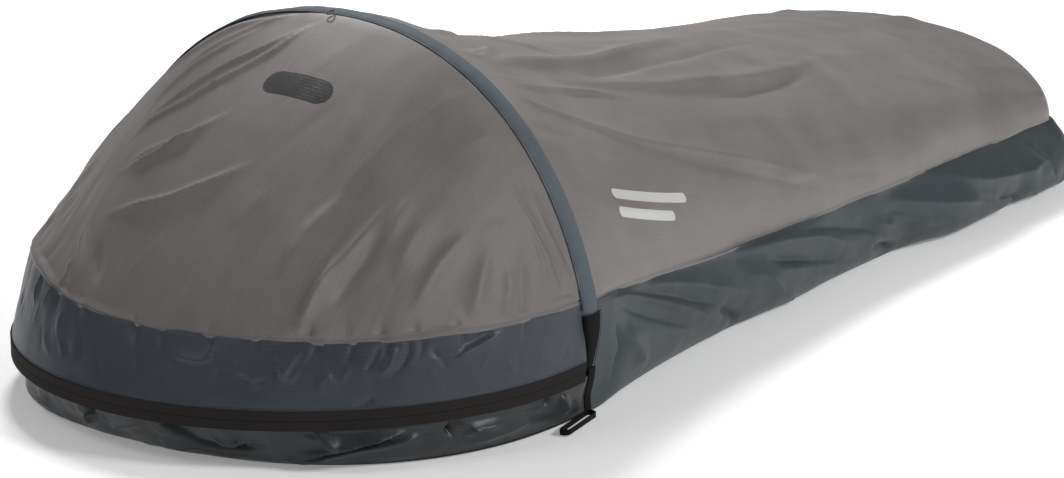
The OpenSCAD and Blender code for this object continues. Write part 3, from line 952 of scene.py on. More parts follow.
def band_surface(h, f):
    """The door's dark band: h is 0 where it goes under the upper zip tape and 1 at the seam."""
    inner = np.clip(f, 0, 1)
    ax, ay = zip_arc(ZIP_GROW, inner)
    bx, by, bz = door_seam(inner)
    k = np.clip(h, 0, 1) ** 1.25
    return to_corner(point(mix(ax, bx, k), mix(ay, by, k), mix(TAPE_TOP - LAP, bz, h)), f)


def head_wall_surface(h, f):
    """The head's wall: h is 0 at the floor and 1 under the lower zip tape."""
    inner = np.clip(f, 0, 1)
    ax, ay = end_arc(DOOR_X, HEAD_HALF, FLOOR_X - DOOR_X, HEAD_N, inner)
    bx, by = zip_arc(ZIP_GROW, inner)
    k = np.clip(h, 0, 1) ** 0.75
    p = point(mix(ax, bx, k), mix(ay, by, k), mix(FLOOR_TOP, TAPE_FOOT + LAP, h))
    return to_corner(p, f, HEAD_WALL_END)


def floor_surface(t, c):
    """The floor: t runs from the head to the foot, and c from -1 at the right to 1 at the left."""
    x = mix(FLOOR_X, FLOOR_END, (1 - np.cos(math.pi * np.clip(t, 0.004, 0.996))) / 2)
    head = np.clip((DOOR_X - x) / (DOOR_X - FLOOR_X), 0, 1)
    foot = np.clip((x - FOOT_X) / (FLOOR_END - FOOT_X), 0, 1)
    s = np.clip(x - HOOP_X, 0, BODY_LEN)
    half = (floor_half(s) + FLOOR_EDGE) * (1 - head**HEAD_N) ** (1 / HEAD_N)
    half *= (1 - foot**FOOT_N) ** (1 / FOOT_N)
    return point(x, half * c, np.full_like(x, FLOOR_TOP))


def tape_surface(z0, z1):
    """A zip tape between two heights, just outside the zip's line."""

    def surface(h, f):
        x, y = zip_arc(0.0008, np.clip(f, 0, 1))
        return to_corner(point(x, y, mix(z0, z1, h)), f)

    return surface


# ---------------------------------------------------------------- the cloth panels
def lapped(n, laps, first=True, last=True):
    """Places from 0 to 1, with the lap's places past one end or both."""
    over = np.linspace(0, LAP_SHARE, laps + 1)[1:]
    parts = [-over[::-1]] if first else []
    parts.append(np.linspace(0, 1, n))
    if last:
        parts.append(1 + over)
    return np.concatenate(parts)


MIDDLE = (0.0, 0.0, 0.15)
HEAD_MIDDLE = (DOOR_X - 0.1, 0.0, 0.08)
BODY_START = SLEEVE_HALF * 0.5

hood = Panel(hood_surface, lapped(146, 3, first=False), np.linspace(0.003, 0.997, 330), HEAD_MIDDLE)
band = Panel(band_surface, np.linspace(0, 1, 44), lapped(560, 4), HEAD_MIDDLE)
head_wall = Panel(head_wall_surface, np.linspace(0, 1, 44), lapped(520, 4), HEAD_MIDDLE)
top = Panel(
    top_surface,
    mix(BODY_START, FOOT_SEAM + LAP, np.linspace(0, 1, 232) ** 1.2),
    lapped(206, 3),
    MIDDLE,
)
foot = Panel(
    foot_surface,
    np.concatenate([np.linspace(-1, 0, 40)[:-1], lapped(64, 3, first=False)]),
    np.linspace(0.002, 0.998, 190),
    (FOOT_X, 0, 0.1),
)
foot_wall = Panel(foot_wall_surface, np.linspace(0, 1, 44), np.linspace(0, 1, 260), (FOOT_X, 0, 0.05))
wall_rows = np.linspace(BODY_START * 0.7, BODY_LEN, 460)
wall_right, wall_left = (
    Panel(lambda s, h, hand=hand: wall_surface(s, h, hand), wall_rows, np.linspace(0, 1, 52), MIDDLE)
    for hand in (-1, 1)
)
floor = Panel(floor_surface, np.linspace(0, 1, 200), np.linspace(-1, 1, 90), MIDDLE)
tape_low, tape_high = (
    Panel(tape_surface(z0, z1), np.linspace(0, 1, 5), lapped(360, 3), HEAD_MIDDLE)
    for z0, z1 in ((TAPE_FOOT - TAPE_PAST, ZIP_H - TAPE_GAP), (ZIP_H + TAPE_GAP, TAPE_TOP + TAPE_PAST))
)

# Hood: pulls from the crown down over the far shoulder, and soft ridges down to the right seam
hood.folds([
    (
        [(0.1, 0.495), (0.25, 0.54), (0.31, 0.585), (0.38, 0.62), (0.43, 0.665)],
        5, 5.3, 0.3, 1.2, (0.25, 0.35),
    ),
    ([(0.11, 0.5), (0.25, 0.52), (0.32, 0.55), (0.4, 0.6)], 4.5, 4.6, 0.3, 1.2, (0.25, 0.4)),
    (
        [(0.12, 0.56), (0.21, 0.595), (0.27, 0.63), (0.36, 0.665), (0.46, 0.67)],
        5.5, 5.0, 0.2, 1.2,
    ),
    ([(0.3, 0.54), (0.39, 0.59), (0.44, 0.635), (0.5, 0.665)], 5, 5.0, 0.3, 1.2),
    ([(0.4, 0.51), (0.5, 0.56), (0.54, 0.59), (0.58, 0.635)], 7, 6.7, 0.3, 1.2, (0.3, 0.35)),
    ([(0.47, 0.535), (0.51, 0.585), (0.56, 0.63)], 5, 4.6, 0.0, 1.2),
    ([(0.5, 0.455), (0.61, 0.52), (0.68, 0.62)], 8, 6.0, 0.3, 1.3, (0.35, 0.35)),
    ([(0.68, 0.64), (0.82, 0.605), (0.93, 0.615)], 7, 5.8, 0.2),
    ([(0.79, 0.625), (0.87, 0.62), (0.98, 0.625)], 4, 3.8, 0.0, 1.2, (0.3, 0.3)),
    ([(0.72, 0.6), (0.87, 0.56)], 8, -3.5, 0.2, 1.5, (0.4, 0.4)),
    ([(0.04, 0.53), (0.16, 0.6), (0.28, 0.68)], 7, 3.4, 0.2),
    ([(0.05, 0.57), (0.25, 0.75)], 9, 3.6, -0.2, 1.4),
    ([(0.5, 0.335), (0.62, 0.36), (0.68, 0.365), (0.8, 0.365)], 15, 6.0, 0.3, 1.7, (0.4, 0.4)),
    ([(0.62, 0.32), (0.97, 0.33)], 10, 5.5, -0.2, 1.5, (0.4, 0.3)),
    ([(0.45, 0.28), (0.76, 0.325), (0.9, 0.33)], 13, 6.6, 0.4, 1.5, (0.4, 0.2)),
    ([(0.55, 0.275), (0.7, 0.295), (0.83, 0.305)], 12, -4.5, 0.0, 1.7, (0.4, 0.4)),
    ([(0.45, 0.27), (0.68, 0.28)], 12, 4.5, 0.2, 1.6, (0.4, 0.4)),
    ([(0.45, 0.24), (0.61, 0.25), (0.73, 0.25)], 14, 4.0, 0.2, 1.7, (0.4, 0.4)),
    ([(0.5, 0.19), (0.64, 0.21), (0.83, 0.22)], 12, 5.0, 0.2, 1.6, (0.4, 0.4)),
    ([(0.48, 0.16), (0.74, 0.15), (0.87, 0.15)], 12, 5.0, 0.0, 1.6, (0.4, 0.4)),
    ([(0.42, 0.12), (0.58, 0.1), (0.74, 0.09), (0.93, 0.085)], 9, -4.4, 0.3, 1.5, (0.4, 0.4)),
    ([(0.52, 0.13), (0.7, 0.11), (0.9, 0.11)], 11, 2.6, 0.3, 1.6, (0.4, 0.4)),
    (
        [(0.16, 0.16), (0.22, 0.1), (0.23, 0.065), (0.25, 0.035), (0.3, 0.015)],
        3.5, 2.8, 0.2, 1.2,
    ),
    ([(0.25, 0.19), (0.31, 0.115), (0.36, 0.075), (0.5, 0.04), (0.7, 0.03)], 4, 3.0, 0.2, 1.2),
    ([(0.3, 0.14), (0.42, 0.085), (0.6, 0.06), (0.86, 0.045)], 4, 2.4, 0.0, 1.2),
])
# The cloth drops away from the hoop at its far side, so that the sleeve stands proud of it
far_hoop = smooth(0.50, 0.58, hood.c) * (1 - smooth(0.82, 0.96, hood.c))
hood.push -= 0.004 * np.exp(-hood.from_top / 0.045) * far_hoop
# The far shoulder is drawn in between the hoop and the seam
hood.push -= 0.018 * gauss(hood.c, 0.72, 0.10) * gauss(hood.r, 0.70, 0.27)
# Wedges that the seam gathers into, seen dark just above it: a place along it and a size
DEEP_WEDGES = [(0.312, 1.3), (0.276, 0.8), (0.240, 1.3), (0.204, 1.0), (0.158, 0.9), (0.085, 0.9)]
SMALL_WEDGES = [
    (0.370, 1.1), (0.418, 1.1), (0.47, 0.6), (0.500, 1.1), (0.575, 0.9), (0.615, 0.8),
    (0.66, 0.9), (0.72, 0.7), (0.80, 0.9), (0.87, 1.0), (0.93, 0.8),
]


def wedge(panel, path, at, width, height, skew, crisp):
    """A fold that starts at the seam, at its full height. The path's columns count from at."""
    panel.fold([(row, at + col) for row, col in path], width, height, skew, crisp, (0.05, 0.8))


for at, size in DEEP_WEDGES:
    narrow, wide = 4 + 2.5 * size, 5 + 2 * size
    wedge(hood, [(1.02, -0.004), (0.93, 0.004), (0.82, 0.008)], at, narrow, -5.5 * size, 0.4, 1.3)
    wedge(hood, [(1.02, 0.010), (0.91, 0.016)], at, wide, 3.2 * size, -0.3, 1.4)
    wedge(band, [(1.0, -0.004), (0.78, -0.001), (0.60, 0.008)], at, narrow, -3.8 * size, 0.3, 1.3)
for at, size in SMALL_WEDGES:
    wide = 5 + 2 * size
    wedge(hood, [(1.02, 0), (0.88, 0.006)], at, wide, -4.0 * size, 0.3, 1.4)
    wedge(band, [(1.0, 0), (0.7, -0.006)], at, wide, -2.8 * size, -0.3, 1.4)
hood.scatter(16, 7, (0.15, 0.6), (0.70, 0.95), 0.3, (0.35, 0.02), 14, 2.4)
hood.scatter(14, 8, (0.55, 0.8), (0.66, 0.96), 0.0, (0.22, 0.01), 10, 1.8)
hood.scatter(18, 9, (0.05, 0.7), (0.12, 0.55), 0.1, (0.25, 0.02), 12, 1.3)
gathered = np.exp(-hood.from_foot / 0.035)
free = smooth(0.0, 0.05, hood.from_top)
hood.ripple(170, 200, 3.6, 41, free)
hood.ripple(46, 260, 0.9, 42, free)
hood.ripple(20, 70, 1.3, 43, gathered)
hood.ripple(24, 40, 0.22, 44)
hood.hold(foot=(0.003, 0.018))

# Band: loose, crinkled, and pulled into slanting folds by the seam and the zip
band.folds([
    ([(0.95, 0.23), (0.65, 0.235), (0.5, 0.245)], 5, 4.0, 0.4, 1.2, (0.2, 0.4)),
    ([(1.0, 0.215), (0.8, 0.215), (0.63, 0.22), (0.44, 0.235)], 5, -4.5, 0.3, 1.3, (0.1, 0.4)),
    ([(0.95, 0.245), (0.7, 0.25), (0.56, 0.26)], 4, -3.5, 0.0, 1.3, (0.2, 0.4)),
    ([(0.93, 0.105), (0.7, 0.155), (0.6, 0.17)], 5.5, 4.8, 0.4, 1.2, (0.25, 0.4)),
    ([(0.98, 0.12), (0.78, 0.16)], 4.5, -3.4, 0.3, 1.3, (0.2, 0.4)),
    ([(0.25, 0.245), (0.12, 0.255), (0.04, 0.27)], 4.5, -4.0, 0.0, 1.3, (0.3, 0.3)),
    ([(0.8, 0.345), (0.41, 0.33)], 4.5, 3.8, 0.3, 1.2, (0.3, 0.3)),
    ([(0.42, 0.33), (0.62, 0.32)], 3.5, 2.6, 0.0, 1.2, (0.3, 0.3)),
    ([(0.68, 0.455), (0.64, 0.42), (0.77, 0.4)], 5, 3.2, 0.3, 1.3, (0.3, 0.3)),
    ([(0.56, 0.385), (0.36, 0.36), (0.52, 0.35)], 6, -3.4, 0.0, 1.3, (0.3, 0.3)),
    ([(0.44, 0.335), (0.7, 0.33), (0.9, 0.32)], 5, 3.6, 0.3),
    ([(0.98, 0.665), (0.79, 0.67), (0.6, 0.66)], 3, 2.6, 0.0, 1.2, (0.2, 0.4)),
    ([(0.98, 0.63), (0.65, 0.645)], 3.5, 3.0, 0.0, 1.2, (0.2, 0.4)),
    ([(0.92, 0.595), (0.7, 0.6), (0.45, 0.595)], 6, 3.0, 0.2, 1.4),
    ([(0.85, 0.19), (0.65, 0.185)], 5, -2.8, 0.0, 1.4),
    ([(0.62, 0.29), (0.42, 0.3), (0.2, 0.295)], 5, 2.6, 0.2),
])
inner_band = smooth(0.0, 0.018, band.from_top) * smooth(0.0, 0.006, band.from_foot)
band.scatter(24, 17, (0.15, 0.5), (0.02, 0.98), 0.0, (0.42, 0.022), 6, 1.7, 1.3)
band.scatter(14, 18, (0.15, 0.5), (0.02, 0.98), 0.0, (0.42, -0.022), 6, 1.5, 1.3)
band.ripple(120, 80, 2.4, 51)
band.ripple(30, 90, 0.8, 52)
band.ripple(12, 22, 0.2, 53)
band.push *= 0.8 * inner_band

# Head wall: slack cloth that falls into slanting creases between the zip and the floor
head_wall.folds([
    ([(0.97, 0.58), (0.82, 0.555), (0.4, 0.53)], 8, -9.0, 0.4, 1.3, (0.15, 0.35)),
    ([(0.6, 0.55), (0.25, 0.545)], 6, 5.0),
    ([(0.35, 0.52), (0.62, 0.5), (0.8, 0.47)], 7, 5.5, 0.3),
    (
        [(0.99, 0.465), (0.68, 0.44), (0.36, 0.425), (0.34, 0.38), (0.55, 0.345)],
        7, -8.5, 0.3, 1.3, (0.15, 0.3),
    ),
    ([(0.76, 0.41), (0.5, 0.385), (0.66, 0.38)], 5, 5.5, 0.0, 1.2, (0.3, 0.3)),
    ([(0.4, 0.47), (0.25, 0.43)], 7, 4.5, 0.0, 1.4),
    ([(0.93, 0.305), (0.7, 0.29), (0.51, 0.285)], 5, 5.5, 0.3, 1.2, (0.2, 0.4)),
    ([(0.3, 0.345), (0.86, 0.205)], 5, 6.0, 0.4, 1.3, (0.3, 0.3)),
    ([(0.24, 0.33), (0.76, 0.205)], 5, -6.0, 0.0, 1.3, (0.3, 0.3)),
    ([(0.05, 0.35), (0.36, 0.29), (0.8, 0.165)], 8, 7.5, 0.4, 1.4, (0.3, 0.3)),
    (
        [(0.93, 0.16), (0.88, 0.17), (0.67, 0.175), (0.42, 0.165)],
        5, -7.0, 0.3, 1.3, (0.15, 0.4),
    ),
    ([(0.66, 0.1), (0.66, 0.145), (0.45, 0.16)], 7, 6.5, 0.3),
    ([(0.28, 0.15), (0.42, 0.07)], 9, 5.0, 0.0, 1.5),
    ([(0.88, 0.04), (0.22, 0.01)], 6, 5.5, 0.0, 1.3, (0.2, 0.3)),
    ([(0.92, 0.06), (0.6, 0.05)], 6, -5.0, 0.0, 1.4, (0.2, 0.4)),
    ([(0.6, 0.7), (0.18, 0.62)], 8, 5.0, 0.3, 1.4),
    ([(0.85, 0.66), (0.62, 0.64)], 6, -4.0, 0.0, 1.4),
])
head_wall.scatter(30, 19, (0.2, 0.7), (0.02, 0.98), 0.0, (0.35, 0.05), 8, 2.4, 1.4)
head_wall.ripple(150, 50, 4.0, 61)
head_wall.ripple(42, 30, 1.4, 62)
head_wall.ripple(15, 14, 0.4, 63)
head_wall.push *= 1.2
head_wall.push -= 0.012 * gauss(head_wall.c, 0.68, 0.16) * np.sin(math.pi * head_wall.r)
head_wall.hold(top=(0, 0.012), foot=(0, 0.016))


def behind_pole(path, shift=0.0):
    """A path of x places and columns as rows, which count from the pole, and columns."""
    return [(x + shift - HOOP_X, col) for x, col in path]


# Body top: long ridges that run back from the pole, steep on their lower sides
RIDGES = [
    (
        [(-0.58, 0.32), (-0.45, 0.345), (-0.23, 0.37), (0.1, 0.435), (0.3, 0.46)],
        18, 11.5, 0.3, 1.45,
    ),
    (
        [(-0.33, 0.335), (-0.26, 0.335), (-0.04, 0.37), (0.21, 0.4), (0.36, 0.41)],
        13, -6.5, 0.2, 1.5,
    ),
    (
        [
            (-0.46, 0.31), (-0.33, 0.31), (-0.13, 0.295), (-0.03, 0.295), (0.05, 0.29),
            (0.16, 0.29), (0.26, 0.3), (0.38, 0.32), (0.52, 0.35),
        ],
        17, 10.5, 0.3, 1.45,
    ),
    ([(-0.1, 0.26), (0.05, 0.26), (0.2, 0.27), (0.36, 0.29)], 14, -3.5, 0.0, 1.6),
    ([(-0.59, 0.36), (-0.54, 0.335), (-0.47, 0.37), (-0.44, 0.41)], 6, 4.5, 0.2, 1.3),
    ([(-0.36, 0.5), (-0.3, 0.45), (-0.24, 0.38)], 8, 5.0, 0.3, 1.4),
    ([(-0.57, 0.28), (-0.35, 0.29), (-0.24, 0.275)], 6, 4.5, 0.3, 1.3),
    (
        [(-0.59, 0.27), (-0.54, 0.25), (-0.33, 0.19), (-0.19, 0.165), (-0.03, 0.12), (0.24, 0.01)],
        6, 3.2, 0.4, 1.3,
    ),
    ([(-0.34, 0.18), (-0.12, 0.12), (0.12, 0.04)], 8, -2.6, 0.2, 1.4),
    ([(-0.56, 0.41), (-0.36, 0.48)], 8, 4.0, 0.2, 1.4),
    ([(-0.57, 0.345), (-0.47, 0.375), (-0.38, 0.42)], 6, 3.8, 0.2, 1.4),
    ([(0.35, 0.33), (0.66, 0.3)], 16, 3.0, 0.2, 1.6),
    ([(0.48, 0.26), (0.6, 0.21), (0.69, 0.15)], 12, 2.4, 0.2, 1.6),
]
for path, width, height, skew, crisp in RIDGES:
    top.fold(behind_pole(path), width, height, skew, crisp, (0.35, 0.4))
    if path[0][1] < 0.36 or path[0][0] > 0:
        far_side = behind_pole([(x, 1 - col + 0.012) for x, col in path], 0.03)
        top.fold(far_side, width, height * 0.6, -skew, crisp, (0.35, 0.4))
top.push -= 0.007 * gauss(top.c, 0.5, 0.16) * smooth(0.0, 0.12, top.from_top)
top.scatter(16, 27, (0.05, 0.9), (0.04, 0.30), 0.0, (0.28, -0.03), 13, 1.5)
top.scatter(24, 28, (0.05, 0.9), (0.60, 0.96), 0.0, (0.30, 0.05), 14, 2.0)
top.scatter(16, 29, (0.01, 0.03), (0.05, 0.95), 0.0, (0.16, 0.0), 7, 1.4, 1.4)
top.ripple(110, 320, 3.5, 71)
top.ripple(60, 120, 1.2, 72)
top.ripple(22, 40, 0.25, 73)
near_seam = np.exp(-np.minimum(top.from_left, top.from_right) / 0.03)
top.ripple(60, 22, 1.0, 74, near_seam)
top.hold(top=(0, 0.025), foot=(0.004, 0.05))
top.hold(left=(0, 0.012), right=(0, 0.012))
top.push += 0.0008 * smooth(0.02, 0.0, top.from_foot)

foot.folds([
    ([(-0.9, 0.22), (-0.3, 0.2), (0.25, 0.16)], 14, 2.4, 0.0, 1.6, (0.4, 0.4)),
    ([(-0.8, 0.33), (0.3, 0.35)], 18, 3.5, 0.0, 1.6, (0.4, 0.4)),
    ([(-0.9, 0.42), (-0.2, 0.44), (0.4, 0.43)], 18, 4.0, 0.0, 1.6, (0.4, 0.4)),
    ([(-0.5, 0.6), (0.6, 0.66)], 18, 4.0, 0.0, 1.6, (0.4, 0.4)),
])
foot.scatter(22, 37, (-0.8, 0.5), (0.06, 0.94), 0.0, (0.5, 0.02), 13, 2.4)
foot.ripple(100, 120, 3.0, 81)
foot.ripple(26, 70, 1.0, 82, np.exp(-foot.from_foot / 0.04))
foot.ripple(22, 40, 0.25, 83)
foot.hold(left=(0, 0.03), right=(0, 0.03))
foot.hold(top=(0.004, 0.05))


# Side walls: slack tub cloth with long slanting folds and a bellying lower edge
WALL_FOLDS = [
    ([(-0.57, 0.98), (-0.45, 0.84), (-0.2, 0.23)], 8, 7.5, 0.4, 1.3),
    ([(-0.53, 0.99), (-0.37, 0.76), (-0.21, 0.4)], 7, -6.5, 0.2, 1.3),
    ([(-0.45, 0.97), (-0.31, 0.8), (-0.1, 0.36)], 11, 6.0, 0.3, 1.4),
    ([(-0.55, 0.9), (-0.27, 0.24)], 7, -5.0, 0.3, 1.3),
    ([(-0.56, 0.78), (-0.54, 0.5), (-0.56, 0.18)], 8, -8.0, 0.3, 1.4),
    ([(-0.54, 0.66), (-0.49, 0.4), (-0.45, 0.12)], 13, 6.0, 0.2, 1.5),
    ([(-0.24, 0.42), (-0.19, 0.26), (-0.15, 0.05)], 8, -9.0, 0.2, 1.3),
    ([(-0.22, 0.97), (-0.02, 0.86), (0.08, 0.74), (0.2, 0.4)], 12, 8.0, 0.3, 1.4),
    ([(-0.1, 0.76), (0.0, 0.6), (0.22, 0.16)], 9, -8.0, 0.2, 1.3),
    ([(-0.02, 0.95), (0.12, 0.8), (0.25, 0.55), (0.31, 0.3)], 8, -4.5, 0.3, 1.4),
    ([(0.24, 0.34), (0.31, 0.18), (0.36, 0.03)], 8, -9.0, 0.2, 1.3),
    ([(0.3, 0.86), (0.44, 0.58), (0.6, 0.38)], 13, 7.0, 0.3, 1.4),
    ([(0.48, 0.92), (0.6, 0.64), (0.78, 0.5), (0.89, 0.62)], 13, 6.5, 0.3, 1.4),
    ([(0.62, 0.4), (0.72, 0.24), (0.76, 0.05)], 9, -8.0, 0.2, 1.3),
    ([(0.8, 0.9), (0.88, 0.25)], 10, 5.5, 0.3, 1.5),
    ([(0.84, 0.84), (0.88, 0.22)], 8, -7.0, 0.2, 1.3),
]
for wall, shift in ((wall_right, 0.0), (wall_left, 0.045)):
    for path, width, height, skew, crisp in WALL_FOLDS:
        wall.fold(behind_pole(path, shift), width, height, skew, crisp, (0.3, 0.35))
    seed = 90 if shift else 95
    wall.scatter(34, seed, (0.06, 1.45), (0.25, 0.8), 0.0, (0.12, -0.35), 9, 2.4, 1.4)
    wall.ripple(60, 150, 3.0, seed + 1)
    wall.ripple(36, 60, 1.2, seed + 2)
    wall.ripple(14, 20, 0.35, seed + 3)
    wall.hold(left=(0, 0.02), right=(0, 0.010), top=(0, 0.03), foot=(0, 0.02))

foot_wall.scatter(26, 47, (0.2, 0.8), (0.03, 0.97), 0.0, (0.5, 0.05), 12, 4.5, 1.5)
foot_wall.ripple(110, 60, 3.5, 84)
foot_wall.ripple(36, 40, 1.6, 85)
foot_wall.hold(top=(0, 0.02), foot=(0, 0.008))
foot_wall.hold(left=(0, 0.03), right=(0, 0.03))


# ---------------------------------------------------------------- their paints
def spot(panel, row, col):
    """The cloth map's place for a row and a column of a panel."""
    i = int(np.argmin(np.abs(panel.rows - row)))
    j = int(np.argmin(np.abs(panel.cols - col)))
    return panel.u[i, j], panel.v[i, j]


# Printed marks: centre, half size, corner radius, lean and ink
DARK_INK = srgb(8, 8, 9)
PALE_INK = srgb(196, 196, 194)
hood_mark = (spot(hood, 0.33, 0.465), (0.055, 0.021), 0.020, 0.0, DARK_INK)
side_u, side_v = spot(top, 0.235, 0.10)
side_marks = [
    ((side_u, side_v), (0.0075, 0.100), 0.0074, 0.0, PALE_INK),
    ((side_u - 0.026, side_v - 0.022), (0.0075, 0.078), 0.0074, 0.0, PALE_INK),
]
PAINTS = {}


def paint_cloth(name, *look, **more):
    PAINTS[name] = cloth(name, *look, **more)


paint_cloth("hood_fabric", srgb(109, 104, 102), 0.56, 0.05, [hood_mark], sheen=0.05, specular=0.45)
paint_cloth("body_fabric", srgb(117, 112, 110), 0.47, 0.025, side_marks, sheen=0.08, specular=0.5)
# The foot panel's paint is the body's cloth a little darker: painted shade.
paint_cloth("body_fabric_painted_shade", srgb(112, 107, 105), 0.47, 0.025, sheen=0.08, specular=0.5)
paint_cloth("band_fabric", srgb(52, 58, 66), 0.47, 0.16, crinkle=0.6, specular=0.4, sheen=0.05)
# The head wall's paint is the wall cloth made darker: painted shade for a wall that faces down and out.
paint_cloth("wall_fabric_painted_shade", srgb(34, 39, 43), 0.42, 0.12, crinkle=0.8, specular=0.5, sheen=0.04)
paint_cloth("wall_fabric", srgb(55, 63, 67), 0.50, 0.05, crinkle=0.8, specular=0.45, sheen=0.05)
paint_cloth("tub_fabric", srgb(50, 56, 60), 0.5, 0.05, sheen=0.05)
paint_cloth("sleeve_fabric", srgb(86, 94, 101), 0.72, 0.03, crinkle=0.8, sheen=0.02, specular=0.2)
paint_cloth("zip_tape", srgb(42, 40, 39), 0.85, 0.02, grid=0.003, sheen=0.0, specular=0.1)
PAINTS["webbing"] = webbing_paint("webbing", srgb(12, 12, 13))
PAINTS["pocket"] = webbing_paint(
    "webbing_pocket", srgb(12, 12, 13), edge_line=(0.012, srgb(150, 155, 158))
)
PAINTS["plastic"] = hard("black_plastic", srgb(26, 26, 27), 0.45)
PAINTS["enamel"] = hard("black_enamel", srgb(24, 24, 25), 0.32)
PAINTS["alloy"] = hard("pole_alloy", (0.6, 0.61, 0.63), 0.3, metal=1.0)
PAINTS["piping"] = cloth("piping_fabric", srgb(36, 41, 46), 0.6, 0.0, sheen=0.05)
PAINTS["cord"] = webbing_paint("braided_cord", srgb(96, 95, 93), rib=0.0009)
PAINTS["coil"] = hard("nylon_coil", srgb(30, 30, 31), 0.4)


def place(obj, body, nodes, slot, paint=None):
    """Gives a piece its paint and body, and hides the frame's nodes that it stands for; the slot is not
    used. A piece of the door's cloth keeps its place, with its transform applied, and is put under no
    body.
    """
    if paint is not None:
        obj.data.materials.clear()
        obj.data.materials.append(PAINTS[paint])
    if body == "door":
        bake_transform(obj)
    else:
        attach(obj, body)
    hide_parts(*nodes)
    return obj


def sewn(name, panel, body, node, slot, edges, paint=None, thickness=CLOTH):
    """One cloth panel as a shell, with the edges where it is sewn."""
    obj = shell(name, panel, panel.hem(edges), thickness)
    place(obj, body, [node], slot, paint or slot)
    width, length = panel.flat()
    flat = (round(width, 3), round(length, 3))
    cut = math.floor(min(panel.area(), flat[0] * flat[1]) * 1e4) / 1e4
    return obj


FOOT, SIDES = ["foot"], ["left", "right"]
sewn("hood_cloth", hood, "door", "hood_panel", "hood_fabric", FOOT)
sewn("band_cloth", band, "door", "hood_band", "band_fabric", ["top"])
# The head wall takes the darker copy of the wall cloth, which is painted shade.
sewn("head_wall_cloth", head_wall, "sack", "head_wall", "wall_fabric", FOOT, "wall_fabric_painted_shade")
sewn("top_cloth", top, "sack", "top_panel", "body_fabric", FOOT + SIDES)
# The foot panel takes the darker copy of the body's cloth, which is painted shade.
sewn("foot_cloth", foot, "sack", "foot_panel", "body_fabric", FOOT, "body_fabric_painted_shade")
sewn("foot_wall_cloth", foot_wall, "sack", "foot_wall", "wall_fabric", SIDES)
sewn("wall_right_cloth", wall_right, "sack", "wall_right", "wall_fabric", FOOT)
sewn("wall_left_cloth", wall_left, "sack", "wall_left", "wall_fabric", FOOT)
sewn("floor_cloth", floor, "sack", "floor_panel", "tub_fabric", SIDES)
for level, panel, body, on in (
    ("upper", tape_high, "door", "band_cloth"),
    ("lower", tape_low, "sack", "head_wall_cloth"),
):
    sewn("tape_" + level, panel, body, "zip_tape_" + level, "zip_tape", [], thickness=TAPE_CLOTH)


# ---------------------------------------------------------------- zip coils, sleeve and piping
def coil(name, height, body, node):
    """A nylon coil: one thread wound along the tape's inner side."""
    turn, pitch, wire, steps = 0.00095, 0.0020, 0.00027, 8
    length = 2 * ZIP_RUN + math.pi * ZIP_R
    n = int(length / pitch) * steps
    f = np.linspace(0.001, 0.999, n)
    angle = f * length / pitch * 2 * math.pi
    x, y = zip_arc(-0.0022, f)
    out_x, out_y = zip_arc(0.0, f)
    out = unit(point(out_x - x, out_y - y, np.zeros(n)))
    up = np.array([0.0, 0.0, 1.0])
    radial = out * np.cos(angle)[:, None] + up * np.sin(angle)[:, None]
    along = np.cross(up, out)
    centre = point(x, y, np.full(n, height)) + radial * turn
    turns = full_turn(5)
    ring = [centre + wire * (radial * math.cos(t) + along * math.sin(t)) for t in turns]
    return place(sweep(name, np.stack(ring, 1)), body, [node], "zip_coil", "coil")


coil("coil_upper", ZIP_H + COIL_OFF, "door", "zip_coil_upper")
coil("coil_lower", ZIP_H - COIL_OFF, "sack", "zip_coil_lower")


def hoop_frame(off, u):
    """Middle and outward direction, in y and z, of something that follows the hoop."""
    step = 0.004
    y, z = hoop_pt(off, u)
    ya, za = hoop_pt(off, u - step)
    yb, zb = hoop_pt(off, u + step)
    d = unit(np.stack([yb - ya, zb - za], -1))
    return np.stack([y, z], -1), np.stack([-d[:, 1], d[:, 0]], -1)


def hoop_rings(off, u, x, thick, wide, turns):
    """Rings along the hoop from offsets outwards, thick, and along the sack, wide."""
    middle, out = hoop_frame(off, u)
    shape = (len(u), len(turns))
    px = x + np.broadcast_to(wide * np.cos(turns), shape)
    radial = np.broadcast_to(thick * np.sin(turns), shape)
    yz = middle[:, None] + radial[..., None] * out[:, None]
    return np.concatenate([px[..., None], yz], -1)


def build_sleeve():
    rows, k = 420, 40
    foot_u = hoop_angle(SLEEVE_FOOT + 0.003)
    u = np.linspace(foot_u, math.pi - foot_u, rows)
    turns = full_turn(k)
    along, around = np.meshgrid(u * 0.46, turns * 0.008, indexing="ij")
    crimp = noise(along, around, 0.014, 0.03, 301) * 0.0005
    crimp += noise(along, around, 0.06, 0.05, 302) * 0.0008
    near_foot = np.minimum(u - u[0], u[-1] - u)[:, None] * 0.46
    gather = 1 - 0.22 * (1 - smooth(0, 0.02, near_foot))
    seam = gauss(np.sin(turns / 2), 0, 0.10) + gauss(np.cos(turns / 2), 0, 0.10)
    seam = 0.0018 * seam
    thick = (SLEEVE_T / 2 + crimp) * gather
    wide = (SLEEVE_HALF - 0.001 + crimp) * gather + seam
    outer = hoop_rings(-SLEEVE_T / 2, u, HOOP_X, thick, wide, turns)
    inner = hoop_rings(-SLEEVE_T / 2, u, HOOP_X, thick - 0.0008, wide - 0.0012 - seam * 0.5, turns)
    obj = sweep("sleeve", outer, hollow=inner)
    return place(obj, "sack", ["pole_sleeve"], "sleeve_fabric", "sleeve_fabric")


def build_piping():
    foot_u = hoop_angle(BAND_TOP - 0.012)
    u = np.linspace(foot_u, math.pi - foot_u, 300)
    turns = full_turn(10)
    x = HOOP_X - SLEEVE_HALF - 0.0014
    rings = hoop_rings(-0.0042, u, x, 0.0016, 0.0016, turns)
    return place(sweep("piping", rings), "sack", ["sleeve_piping"], "piping_fabric", "piping")


build_sleeve()
build_piping()


# ---------------------------------------------------------------- webbing, loops and cord
def mirrored(rings, hand):
    rings = np.array(rings)
    rings[..., 1] *= -hand
    return rings


